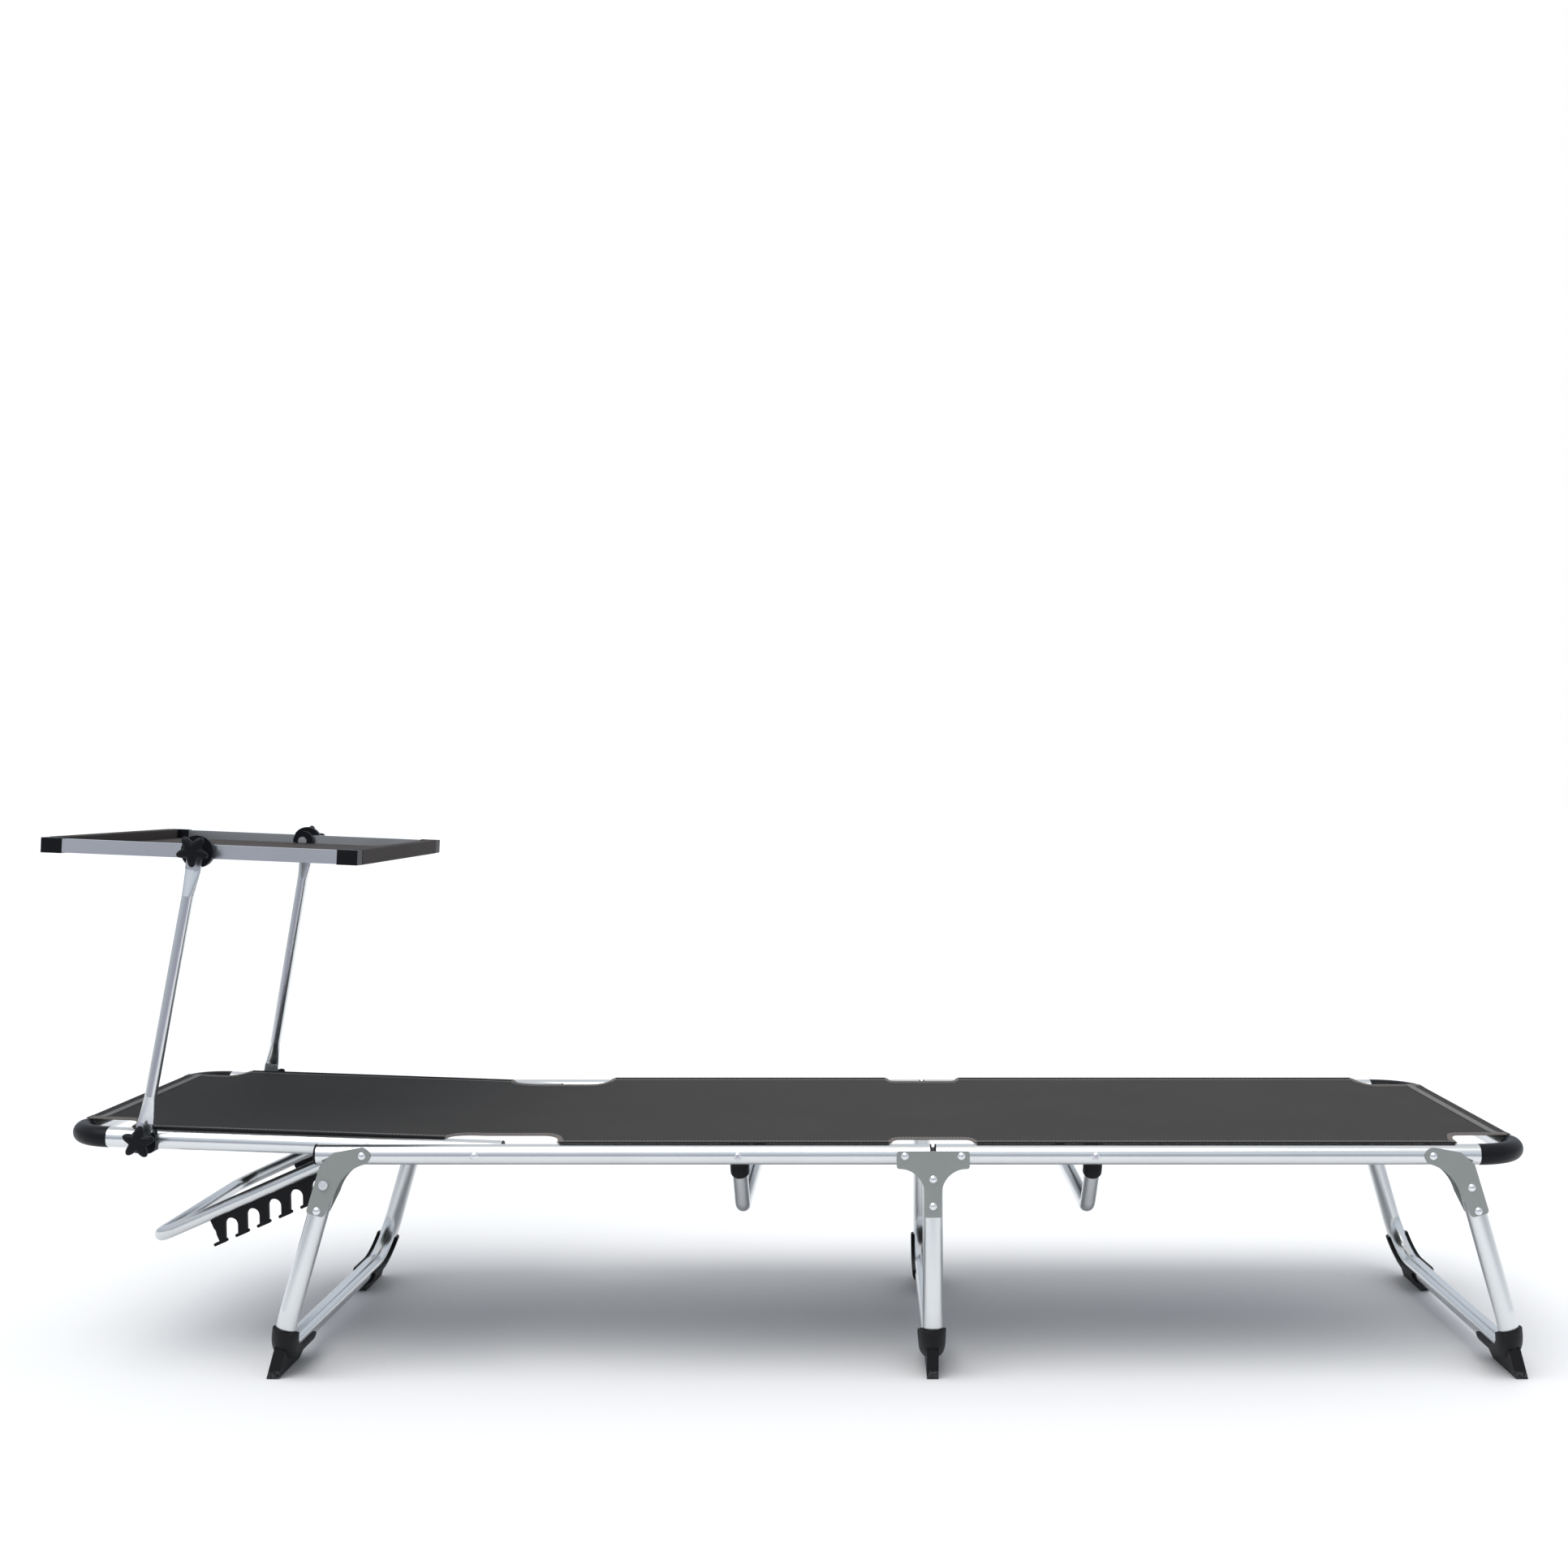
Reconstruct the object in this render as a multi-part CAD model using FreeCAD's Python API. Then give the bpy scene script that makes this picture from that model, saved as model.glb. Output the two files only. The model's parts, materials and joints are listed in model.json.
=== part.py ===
import FreeCAD, Part
import math
import os
from FreeCAD import Vector

# Folding sun lounger with three U-shaped legs, a reclining backrest and a tilting sunshade.
# Millimetres, +Z up, +X towards the foot end. The lounger's own middle is X = 0 while it is
# modelled; save() moves every part so that the row's origin is the middle of its footprint.

# ---- Overall sizes
lounger_length = 1900.0
rail_spacing = 553.0          # between the centre lines of the two base rails
rail_height = 290.0           # centre line of the base rails above the ground

# ---- Tubes
rail_diameter = 26.0
tube_wall = 1.4
elbow_extra = 0.5             # the plastic corners stand this much proud of the tubes
bar_diameter = 20.0           # cross bars
prop_diameter = 18.0
rod_diameter = 8.0            # catch rod of the backrest prop

# ---- Places along the lounger
base_head_x = -612.5          # head end of the base rails, with their plugs
backrest_pivot_x = -407.0
middle_x = 178.0              # middle legs, and the joint between the two halves
base_bar_x = -71.0
foot_bar_x = 385.5
head_leg_pivot_x = -550.0
foot_leg_pivot_x = 815.0

# ---- Backrest
backrest_inset = 30.0         # from a base rail's centre line to a backrest rail's
backrest_tail = 28.0          # rail beyond the pivot
backrest_rise = 2.03          # degrees above level in the lowest position
head_corner_radius = 48.0
foot_corner_radius = 60.0

# ---- Legs
leg_offset = 36.0             # from a leg's pivot to its centre line
leg_tilt = 15.9               # degrees outwards, end legs
leg_bend_radius = 62.0
leg_bottom_z = 31.0           # centre line of the legs' cross tubes
middle_gap = 4.0              # between the plugs of the two halves
stop_gap = 0.5                # between a leg's top plug and the rail above it

# ---- Plates, rivets and plugs
plate_thickness = 2.0
plate_play = 0.15             # between a plate and the tube it is riveted to
rivet_radius = 3.0
pin_play = 0.08               # radial play of a pin in its hole
rivet_head_radius = 5.0
rivet_head_height = 2.4
inner_head_height = 0.8       # flat heads, next to the backrest rails
end_rivets = [52.0, 83.0]     # along an end leg, from its pivot's level
middle_rivets = [29.5, 64.0]  # along a middle leg, from the rails' centre lines
plug_flange = 2.0
end_plug_flange = 3.0
plug_depth = 16.0
plug_play = 0.1

# ---- Cross bars
bar_drop = 85.0               # centre line of the bars below the rails' centre lines
bar_end_bend = 26.0
bar_low_bend = 40.0
cup_wall = 2.4
bar_top_rise = 8.0            # top of the bar's ends above the rails' centre lines
bar_knee_drop = 20.0          # where the ends turn inwards, below the rails' centre lines
bolt_head_height = 2.8
bolt_inner_head = 2.4
socket_radius = 3.0
socket_depth = 1.4

# ---- Backrest prop
prop_hinge_distance = 147.5   # from the backrest pivot
prop_slope = 24.2             # degrees below level at rest
prop_reach = 327.0            # hinge to the centre line of the closed end
prop_hinge_y = 226.5
prop_closed_y = 178.0
prop_bend_radius = 35.0
prop_lug_thickness = 5.0
prop_lug_length = 26.0        # from the hinge to where the round tube starts
prop_lug_overlap = 14.0       # flat lug inside the tube
prop_pin_outer_head = 0.6     # thin, because the base rail's rivet passes close by
prop_pin_inner_head = 2.0
prop_spacer_radius = 8.0
side_play = 0.15              # between a spacer or washer and the part that turns on it
pivot_washer_radius = 9.0
notch_count = 6
notch_first = 57.0            # along the arm, from the hinge
notch_pitch = 33.2
notch_width = 18.0
notch_top = 15.5              # top of a notch below the arm's centre line
notch_plate_depth = 42.7
notch_plate_thickness = 5.0
notch_foot_length = 20.0
notch_foot_height = 4.0
notch_root = 4.0              # top edge of the plates below the arm's centre line
first_bevel = 28.0            # the first tooth is cut back at 45 degrees from this depth
rod_seat = 0.6                # play above the catch rod in its notch
rod_head_radius = 6.0
rod_head_height = 2.4

# ---- Sling
sling_thickness = 2.4
sling_gap = 0.3               # above the tubes
sling_edge = 3.0              # the sling stops this far inside the rails' outer sides
sling_head_hem = 62.0         # from the head end to the sling's first cross edge
sling_foot_hem = 62.0
sling_backrest_end = -453.0   # the full-width panels stop here, either side of the pivot
sling_base_start = -306.0
sling_waist_inset = 59.0      # side cut-out at the backrest pivot, from the base rail
sling_fold_before = 4.0       # the backrest's tongue stops this far before its pivot
sling_fold_after = 19.0       # the base's tongue starts this far after it
sling_middle_half = 27.0      # half the length of the strip over the middle legs
sling_middle_gap = 0.4        # between that strip and the tongues beside it
sling_middle_inset = 28.0     # side cut-out over the middle legs
sling_middle_cutout = 56.0    # the full-width panels stop this far from the middle legs

# ---- Feet
foot_wall = 4.0
foot_play = 0.1
foot_toe_width = 15.0
foot_toe_outer = 17.0         # from the leg's outer side to the top of the toe
foot_toe_lean = 9.0           # the toe's outer edge leans inwards by this much
foot_toe_length = 27.0
foot_reach = 118.0            # along the cross tube, from the leg's centre line
foot_climb = 17.0             # up the bend, above the cross tube's centre line

# ---- Sunshade
shade_pivot_distance = 430.0  # lower knobs, from the backrest pivot
shade_arm_length = 377.0
shade_arm_lean = 9.9          # degrees towards the foot end
shade_arm_diameter = 15.0
shade_arm_wall = 1.3
arm_end_thickness = 4.4
arm_end_width = 20.0
arm_end_length = 24.0
arm_taper = 34.0
clamp_thickness = 8.0
clamp_size = 32.0
clamp_round = 9.0
bolt_head_extra = 2.5         # radius of a knob bolt's head beyond its shank
bolt_head_thickness = 3.0
joint_play = 0.2
canopy_length = 409.0
canopy_width = 490.0          # outside the side rails
canopy_rail_height = 18.0
canopy_rail_width = 12.0
canopy_corner_length = 26.0
canopy_corner_extra = 0.8
canopy_tilt = 2.4             # degrees, head end up
canopy_disc_radius = 21.0
canopy_disc_thickness = 9.0
canopy_bracket_radius = 15.0
canopy_bracket_thickness = 9.0
canopy_fabric_drop = 3.0
canopy_fabric_thickness = 1.6
knob_radius = 26.0
knob_lobes = 5
knob_lobe_radius = 7.5
knob_hub_radius = 14.0
knob_thickness = 14.0
knob_stem = 6.0
knob_stem_radius = 11.0
bolt_radius = 4.0

# ---- Worked out from the above
rail_radius = rail_diameter / 2
rail_y = rail_spacing / 2
backrest_y = rail_y - backrest_inset
end_x = lounger_length / 2 - rail_radius - elbow_extra
middle_half_gap = middle_gap / 2 + plug_flange
shade_pivot_x = backrest_pivot_x - shade_pivot_distance
arm_low_y = backrest_y + rail_radius + clamp_thickness + joint_play + arm_end_thickness / 2
arm_top_y = canopy_width / 2 + canopy_disc_thickness + joint_play + arm_end_thickness / 2
tilt = math.radians(leg_tilt)
end_leg_depth = (rail_height + leg_offset * math.sin(tilt) - leg_bottom_z) / math.cos(tilt)
middle_leg_depth = rail_height - leg_bottom_z
end_leg_top = ((rail_radius + stop_gap + (leg_offset + rail_radius) * math.sin(tilt))
               / math.cos(tilt))
middle_leg_top = rail_radius + stop_gap

Y_AXIS = Vector(0, 1, 0)


def turned(shape, x, z, degrees):
    """The shape turned about the Y direction through (x, z); positive lifts the head end."""
    copy = shape.copy()
    copy.rotate(Vector(x, 0, z), Y_AXIS, degrees)
    return copy


def moved(shape, x=0.0, y=0.0, z=0.0):
    copy = shape.copy()
    copy.translate(Vector(x, y, z))
    return copy


def mirrored(shape):
    """The same piece on the other long side."""
    return shape.mirror(Vector(0, 0, 0), Y_AXIS)


def pair(shape):
    return Part.makeCompound([shape, mirrored(shape)])


def rod(start, end, radius):
    along = end - start
    return Part.makeCylinder(radius, along.Length, start, along)


def cross_rod(x, z, y_start, y_end, radius):
    """A cylinder along Y."""
    return rod(Vector(x, y_start, z), Vector(x, y_end, z), radius)


def rounded_path(points, radius):
    """A wire through the points, with its inner corners rounded by tangent arcs."""
    edges = []
    start = points[0]
    radii = radius if isinstance(radius, list) else [radius] * (len(points) - 2)
    for before, corner, after, bend in zip(points, points[1:], points[2:], radii):
        back = (before - corner).normalize()
        on = (after - corner).normalize()
        half = back.getAngle(on) / 2
        setback = bend / math.tan(half)
        middle = (back + on).normalize()
        centre = corner + middle * (bend / math.sin(half))
        arc_start = corner + back * setback
        arc_end = corner + on * setback
        edges.append(Part.LineSegment(start, arc_start).toShape())
        edges.append(Part.Arc(arc_start, centre - middle * bend, arc_end).toShape())
        start = arc_end
    edges.append(Part.LineSegment(start, points[-1]).toShape())
    return Part.Wire(edges)


def pipe(path, radius):
    """A round bar along a path."""
    first = path.Edges[0]
    start = first.valueAt(first.FirstParameter)
    circle = Part.Wire(Part.makeCircle(radius, start, first.tangentAt(first.FirstParameter)))
    return path.makePipeShell([circle], True, False)


def tube(path, diameter, wall=tube_wall):
    return pipe(path, diameter / 2).cut(pipe(path, diameter / 2 - wall))


def straight_tube(start, end, diameter=rail_diameter, wall=tube_wall):
    return rod(start, end, diameter / 2).cut(rod(start, end, diameter / 2 - wall))


def plug(mouth, outwards, flange=plug_flange, diameter=rail_diameter, wall=tube_wall):
    """An end plug: a flange over the tube's end and a spigot inside it."""
    head = Part.makeCylinder(diameter / 2, flange, mouth, outwards)
    rim = min(0.8, flange / 3)
    edges = [e for e in head.Edges if e.BoundBox.Center.distanceToPoint(
        mouth + outwards * flange) < 0.01]
    head = head.makeFillet(rim, edges)
    spigot = Part.makeCylinder(diameter / 2 - wall - plug_play, plug_depth, mouth, -outwards)
    return head.fuse(spigot).removeSplitter()


def rivet(x, z, y_inner, y_outer, outer_head=rivet_head_height, inner_head=inner_head_height):
    """A rivet along Y from y_inner to y_outer (both positive), domed on its outer side."""
    shank = cross_rod(x, z, y_inner, y_outer, rivet_radius)
    flat = cross_rod(x, z, y_inner - inner_head, y_inner, rivet_head_radius)
    ball = (rivet_head_radius ** 2 + outer_head ** 2) / (2 * outer_head)
    dome = Part.makeSphere(ball, Vector(x, y_outer + outer_head - ball, z))
    dome = dome.common(cross_rod(x, z, y_outer, y_outer + outer_head, rivet_head_radius))
    return shank.fuse([flat, dome]).removeSplitter()


def flat_pin(x, z, y_inner, y_outer, outer_head, inner_head):
    """A rivet along Y with a flat head on both sides."""
    shank = cross_rod(x, z, y_inner, y_outer, rivet_radius)
    heads = [cross_rod(x, z, y_inner - inner_head, y_inner, rivet_head_radius),
             cross_rod(x, z, y_outer, y_outer + outer_head, rivet_head_radius)]
    return shank.fuse(heads).removeSplitter()


def hole(x, z, y_start, y_end, radius=rivet_radius):
    return cross_rod(x, z, y_start, y_end, radius + pin_play)


def face_of(edges, thickness, direction):
    """A plate from closed edges."""
    return Part.Face(Part.Wire(edges)).extrude(direction * thickness)


def line(a, b):
    return Part.LineSegment(a, b).toShape()


def arc(a, b, c):
    return Part.Arc(a, b, c).toShape()


# ---------------------------------------------------------------- rails and frames

def drilled(shape, places, y_middle, radius=rivet_radius):
    """Cross holes through a rail at (x, z) places."""
    for x, z in places:
        shape = shape.cut(hole(x, z, y_middle - rail_diameter, y_middle + rail_diameter, radius))
    return shape


def base_rail():
    start = base_head_x + end_plug_flange
    end = middle_x - middle_half_gap
    rail = straight_tube(Vector(start, rail_y, rail_height), Vector(end, rail_y, rail_height))
    places = [(head_leg_pivot_x, rail_height), (backrest_pivot_x, rail_height),
              (middle_x - leg_offset, rail_height), (base_bar_x, rail_height)]
    return drilled(rail, places, rail_y)


def foot_rail():
    start = middle_x + middle_half_gap
    end = end_x - foot_corner_radius
    rail = straight_tube(Vector(start, rail_y, rail_height), Vector(end, rail_y, rail_height))
    places = [(middle_x + leg_offset, rail_height), (foot_leg_pivot_x, rail_height),
              (foot_bar_x, rail_height)]
    return drilled(rail, places, rail_y)


def corner(x, y, radius, towards):
    """A plastic elbow from a side rail to an end tube, with a spigot in each tube."""
    knee = Vector(x, y, rail_height)
    on_rail = knee - Vector(towards * radius, 0, 0)
    on_end = knee - Vector(0, radius, 0)
    middle = knee - Vector(towards * radius, radius, 0)
    diagonal = Vector(towards, 1, 0).normalize()
    path = Part.Wire(Part.Arc(on_rail, middle + diagonal * radius, on_end).toShape())
    elbow = pipe(path, rail_radius + elbow_extra)
    inner = rail_radius - tube_wall - plug_play
    spigots = [Part.makeCylinder(inner, plug_depth, on_rail, Vector(-towards, 0, 0)),
               Part.makeCylinder(inner, plug_depth, on_end, Vector(0, -1, 0))]
    return elbow.fuse(spigots).removeSplitter()


def end_tube(x, y, radius):
    half = y - radius
    return straight_tube(Vector(x, -half, rail_height), Vector(x, half, rail_height))


def cross_bar_path(x):
    """Down from the rail's inner side, then inwards on a slope, then level across."""
    top_y = rail_y - rail_radius - cup_wall - bar_diameter / 2
    high_z = rail_height + bar_top_rise
    knee_z = rail_height - bar_knee_drop
    low_z = rail_height - bar_drop
    low_y = top_y - (knee_z - low_z)
    points = [Vector(x, -top_y, high_z), Vector(x, -top_y, knee_z), Vector(x, -low_y, low_z),
              Vector(x, low_y, low_z), Vector(x, top_y, knee_z), Vector(x, top_y, high_z)]
    return rounded_path(points, [bar_end_bend, bar_low_bend, bar_low_bend, bar_end_bend])


def cross_bar(x):
    bar = tube(cross_bar_path(x), bar_diameter)
    top_y = rail_y - rail_radius - cup_wall - bar_diameter / 2
    for side in (-1, 1):
        bar = bar.cut(hole(x, rail_height, side * top_y - bar_diameter,
                           side * top_y + bar_diameter))
    return bar


def bar_cup(x):
    """A plastic sleeve over the bar's end that seats on the rail's inner side."""
    path = cross_bar_path(x)
    down, bend = path.Edges[-1], path.Edges[-2]
    sleeve = Part.Wire([down, bend])
    wall = pipe(sleeve, bar_diameter / 2 + cup_wall).cut(pipe(path, bar_diameter / 2 + plug_play))
    top_y = rail_y - rail_radius - cup_wall - bar_diameter / 2
    lid = Part.makeCylinder(bar_diameter / 2 + cup_wall, cup_wall,
                            Vector(x, top_y, rail_height + bar_top_rise), Vector(0, 0, 1))
    cup = wall.fuse(lid).removeSplitter()
    rail = cross_rod_x(x - 40, x + 40, rail_y, rail_height, rail_radius)
    return cup.cut(rail).cut(hole(x, rail_height, top_y - bar_diameter, rail_y))


def cross_rod_x(x_start, x_end, y, z, radius):
    """A cylinder along X."""
    return rod(Vector(x_start, y, z), Vector(x_end, y, z), radius)


def bar_bolt(x):
    """A button-head bolt through the rail into the bar's end, with a hexagon socket."""
    inner = rail_y - rail_radius - 2 * cup_wall - bar_diameter
    outer = rail_y + rail_radius
    bolt = rivet(x, rail_height, inner, outer, bolt_head_height, bolt_inner_head)
    floor_y = outer + bolt_head_height - socket_depth
    corners = [Vector(x + socket_radius * math.sin(math.radians(a)), floor_y,
                      rail_height + socket_radius * math.cos(math.radians(a)))
               for a in range(0, 361, 60)]
    socket = Part.Face(Part.makePolygon(corners)).extrude(Vector(0, bolt_head_height, 0))
    return bolt.cut(socket)


# ---------------------------------------------------------------- legs

def leg_path(depth, top):
    """The U of a leg in its own frame: pivot at the origin, legs down, centre line at X = 0."""
    points = [Vector(0, -rail_y, -top), Vector(0, -rail_y, -depth),
              Vector(0, rail_y, -depth), Vector(0, rail_y, -top)]
    return rounded_path(points, leg_bend_radius)


def leg_tube(depth, top, rivets):
    leg = tube(leg_path(depth, top + plug_flange), rail_diameter)
    for side in (-1, 1):
        for along in rivets:
            leg = leg.cut(hole(0, -along, side * rail_y - rail_diameter,
                               side * rail_y + rail_diameter))
    return leg


def leg_plugs(top, rivets):
    """The plugs in a leg's two tops, drilled where a rivet passes through them."""
    plugs = pair(plug(Vector(0, rail_y, -top - plug_flange), Vector(0, 0, 1)))
    for along in rivets:
        plugs = plugs.cut(hole(0, -along, -rail_y - rail_diameter, rail_y + rail_diameter))
    return plugs


def foot(depth):
    """A plastic saddle under the bend of a leg, with a toe that stands on the ground."""
    grip = rail_radius + foot_play
    bend = leg_bend_radius
    path = leg_path(depth, depth - leg_bend_radius - foot_climb)
    saddle = pipe(path, grip + foot_wall)
    inner_y = rail_y - foot_reach
    keep = Part.makeBox(80, rail_y + 60 - inner_y, foot_climb + 80,
                        Vector(-40, inner_y, -depth - 80 + foot_climb))
    saddle = saddle.common(keep)
    y_edge = rail_y - foot_wall
    z_edge = -depth + foot_wall
    top = Vector(0, y_edge, 0)
    low = Vector(0, y_edge, -depth + bend)
    quarter = (bend - foot_wall) * (1 - math.sqrt(0.5))
    inside = [line(top, low),
              arc(low, Vector(0, y_edge - quarter, z_edge + quarter),
                  Vector(0, rail_y - bend, z_edge)),
              line(Vector(0, rail_y - bend, z_edge), Vector(0, 0, z_edge)),
              line(Vector(0, 0, z_edge), Vector(0, 0, 0)), line(Vector(0, 0, 0), top)]
    hollow = face_of([e.translated(Vector(-40, 0, 0)) for e in inside], 80, Vector(1, 0, 0))
    return saddle.cut(hollow)


def toe(depth, ground):
    """The toe and the rib behind it, down to the ground level given in the leg's frame."""
    outer = rail_y + rail_radius - foot_toe_outer
    inner = rail_y - foot_reach
    root = -depth - rail_radius + 1.0
    rise = root + 20.0
    tip = outer - foot_toe_lean
    points = [Vector(0, outer, rise), Vector(0, tip, ground),
              Vector(0, tip - foot_toe_length, ground),
              Vector(0, inner, root - foot_wall), Vector(0, inner, rise)]
    edges = [line(a, b) for a, b in zip(points, points[1:] + points[:1])]
    return face_of([e.translated(Vector(-foot_toe_width / 2, 0, 0)) for e in edges],
                   foot_toe_width, Vector(1, 0, 0))


def finished_foot(depth, slant):
    """Saddle and toe in the leg's frame; slant is the leg's tilt, for a flat sole."""
    whole = leg_path(depth, middle_leg_top)
    low = -depth - 90.0
    body = foot(depth).fuse(toe(depth, low)).cut(pipe(whole, rail_radius + foot_play))
    angle = math.radians(slant)
    ground = -(rail_height + leg_offset * math.sin(angle)) / math.cos(angle)
    sole = Part.makeBox(400, 400, 200, Vector(-200, rail_y - 300, ground - 200))
    sole.rotate(Vector(0, 0, ground), Y_AXIS, slant)
    return body.cut(sole)


def end_plate():
    """An end leg's plate in the leg's frame seen from its side: pivot at (-leg_offset, 0)."""
    def at(x, down):
        return Vector(x - leg_offset, 0, -down)
    edges = [line(at(4, -10.3), at(35, 5)), line(at(35, 5), at(47.5, 24)),
             line(at(47.5, 24), at(48.5, 84)),
             arc(at(48.5, 84), at(47.3, 87.2), at(44.5, 88.5)),
             line(at(44.5, 88.5), at(29, 88.5)),
             arc(at(29, 88.5), at(26, 87.2), at(24.8, 84)),
             line(at(24.8, 84), at(19.5, 56)),
             arc(at(19.5, 56), at(11.5, 27), at(-7.2, 8.4)),
             arc(at(-7.2, 8.4), at(-10.5, -3.2), at(4, -10.3))]
    return edges


def middle_plate():
    """The T-shaped plate of a middle leg: pivots at (+-leg_offset, 0)."""
    half = leg_offset + 10.5
    neck = 11.0
    r = 4.0
    top = 6.5
    c = math.sqrt(0.5)

    def at(x, z):
        return Vector(x, 0, z)
    edges = []
    edges.append(line(at(-half + r, top), at(half - r, top)))
    edges.append(arc(at(half - r, top), at(half - r + r * c, top - r + r * c), at(half, top - r)))
    edges.append(line(at(half, top - r), at(half, -13)))
    edges.append(arc(at(half, -13), at(half - 1.2, -15.2), at(half - 3.6, -16)))
    edges.append(arc(at(half - 3.6, -16), at(neck + 9.5, -25), at(neck, -48)))
    edges.append(line(at(neck, -48), at(neck, -75)))
    edges.append(arc(at(neck, -75), at(neck - 0.9, -77.1), at(neck - 3, -78)))
    edges.append(line(at(neck - 3, -78), at(3 - neck, -78)))
    edges.append(arc(at(3 - neck, -78), at(0.9 - neck, -77.1), at(-neck, -75)))
    edges.append(line(at(-neck, -75), at(-neck, -48)))
    edges.append(arc(at(-neck, -48), at(-neck - 9.5, -25), at(3.6 - half, -16)))
    edges.append(arc(at(3.6 - half, -16), at(1.2 - half, -15.2), at(-half, -13)))
    edges.append(line(at(-half, -13), at(-half, top - r)))
    edges.append(arc(at(-half, top - r), at(r - half - r * c, top - r + r * c),
                     at(r - half, top)))
    return edges


def plates(outline, holes):
    """The outer and inner plates of one side, with their rivet holes."""
    gap = rail_radius + plate_play
    outer = face_of([e.translated(Vector(0, rail_y + gap, 0)) for e in outline],
                    plate_thickness, Y_AXIS)
    inner = face_of([e.translated(Vector(0, rail_y - gap - plate_thickness, 0))
                     for e in outline], plate_thickness, Y_AXIS)
    made = []
    for plate in (outer, inner):
        for x, z in holes:
            plate = plate.cut(hole(x, z, rail_y - 30, rail_y + 30))
        made.append(plate)
    return Part.makeCompound(made)


def plate_rivet(x, z):
    reach = rail_radius + plate_play + plate_thickness
    return rivet(x, z, rail_y - reach, rail_y + reach)


def placed_leg(shape, pivot_x, side):
    """From the leg's own frame to the lounger: side is -1 for the head legs, +1 for the foot."""
    if side < 0:
        shape = shape.mirror(Vector(0, 0, 0), Vector(1, 0, 0))
    shape = moved(shape, side * leg_offset, 0, 0)
    shape = turned(shape, 0, 0, -side * leg_tilt)
    return moved(shape, pivot_x, 0, rail_height)


# ---------------------------------------------------------------- backrest and prop

def on_backrest(shape):
    """From the level backrest to its rest position."""
    return turned(shape, backrest_pivot_x, rail_height, backrest_rise)


def backrest_rail():
    start = -end_x + head_corner_radius
    end = backrest_pivot_x + backrest_tail
    rail = straight_tube(Vector(start, backrest_y, rail_height),
                         Vector(end, backrest_y, rail_height))
    places = [(backrest_pivot_x, rail_height),
              (backrest_pivot_x - prop_hinge_distance, rail_height)]
    rail = drilled(rail, places, backrest_y)
    return drilled(rail, [(shade_pivot_x, rail_height)], backrest_y, bolt_radius)


def prop_frame(shape):
    """From the prop's own frame (X along its arms, from the hinge) to the lounger."""
    hinge_x = backrest_pivot_x - prop_hinge_distance
    level = shape.mirror(Vector(0, 0, 0), Vector(1, 0, 0))
    level = moved(level, hinge_x, 0, rail_height)
    level = turned(level, hinge_x, rail_height, -(prop_slope + backrest_rise))
    return on_backrest(level)


def prop_arm_y(along):
    """Distance of the prop's arm from the middle, narrowing towards the closed end."""
    return prop_hinge_y - (prop_hinge_y - prop_closed_y) * along / prop_reach


def prop_bar():
    corner_y = prop_arm_y(prop_reach)
    start_y = prop_arm_y(prop_lug_length)
    points = [Vector(prop_lug_length, -start_y, 0), Vector(prop_reach, -corner_y, 0),
              Vector(prop_reach, corner_y, 0), Vector(prop_lug_length, start_y, 0)]
    path = rounded_path(points, prop_bend_radius)
    bar = tube(path, prop_diameter)
    half = prop_lug_thickness / 2
    radius = prop_diameter / 2
    for side in (-1, 1):
        y = side * prop_hinge_y - half
        lug = cross_rod(0, 0, y, y + prop_lug_thickness, radius)
        lug = lug.fuse(Part.makeBox(prop_lug_length + prop_lug_overlap, prop_lug_thickness,
                                    prop_diameter, Vector(0, y, -radius)))
        bar = bar.fuse(lug)
        bar = bar.cut(hole(0, 0, y - 10, y + 15))
    return bar.removeSplitter()


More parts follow.
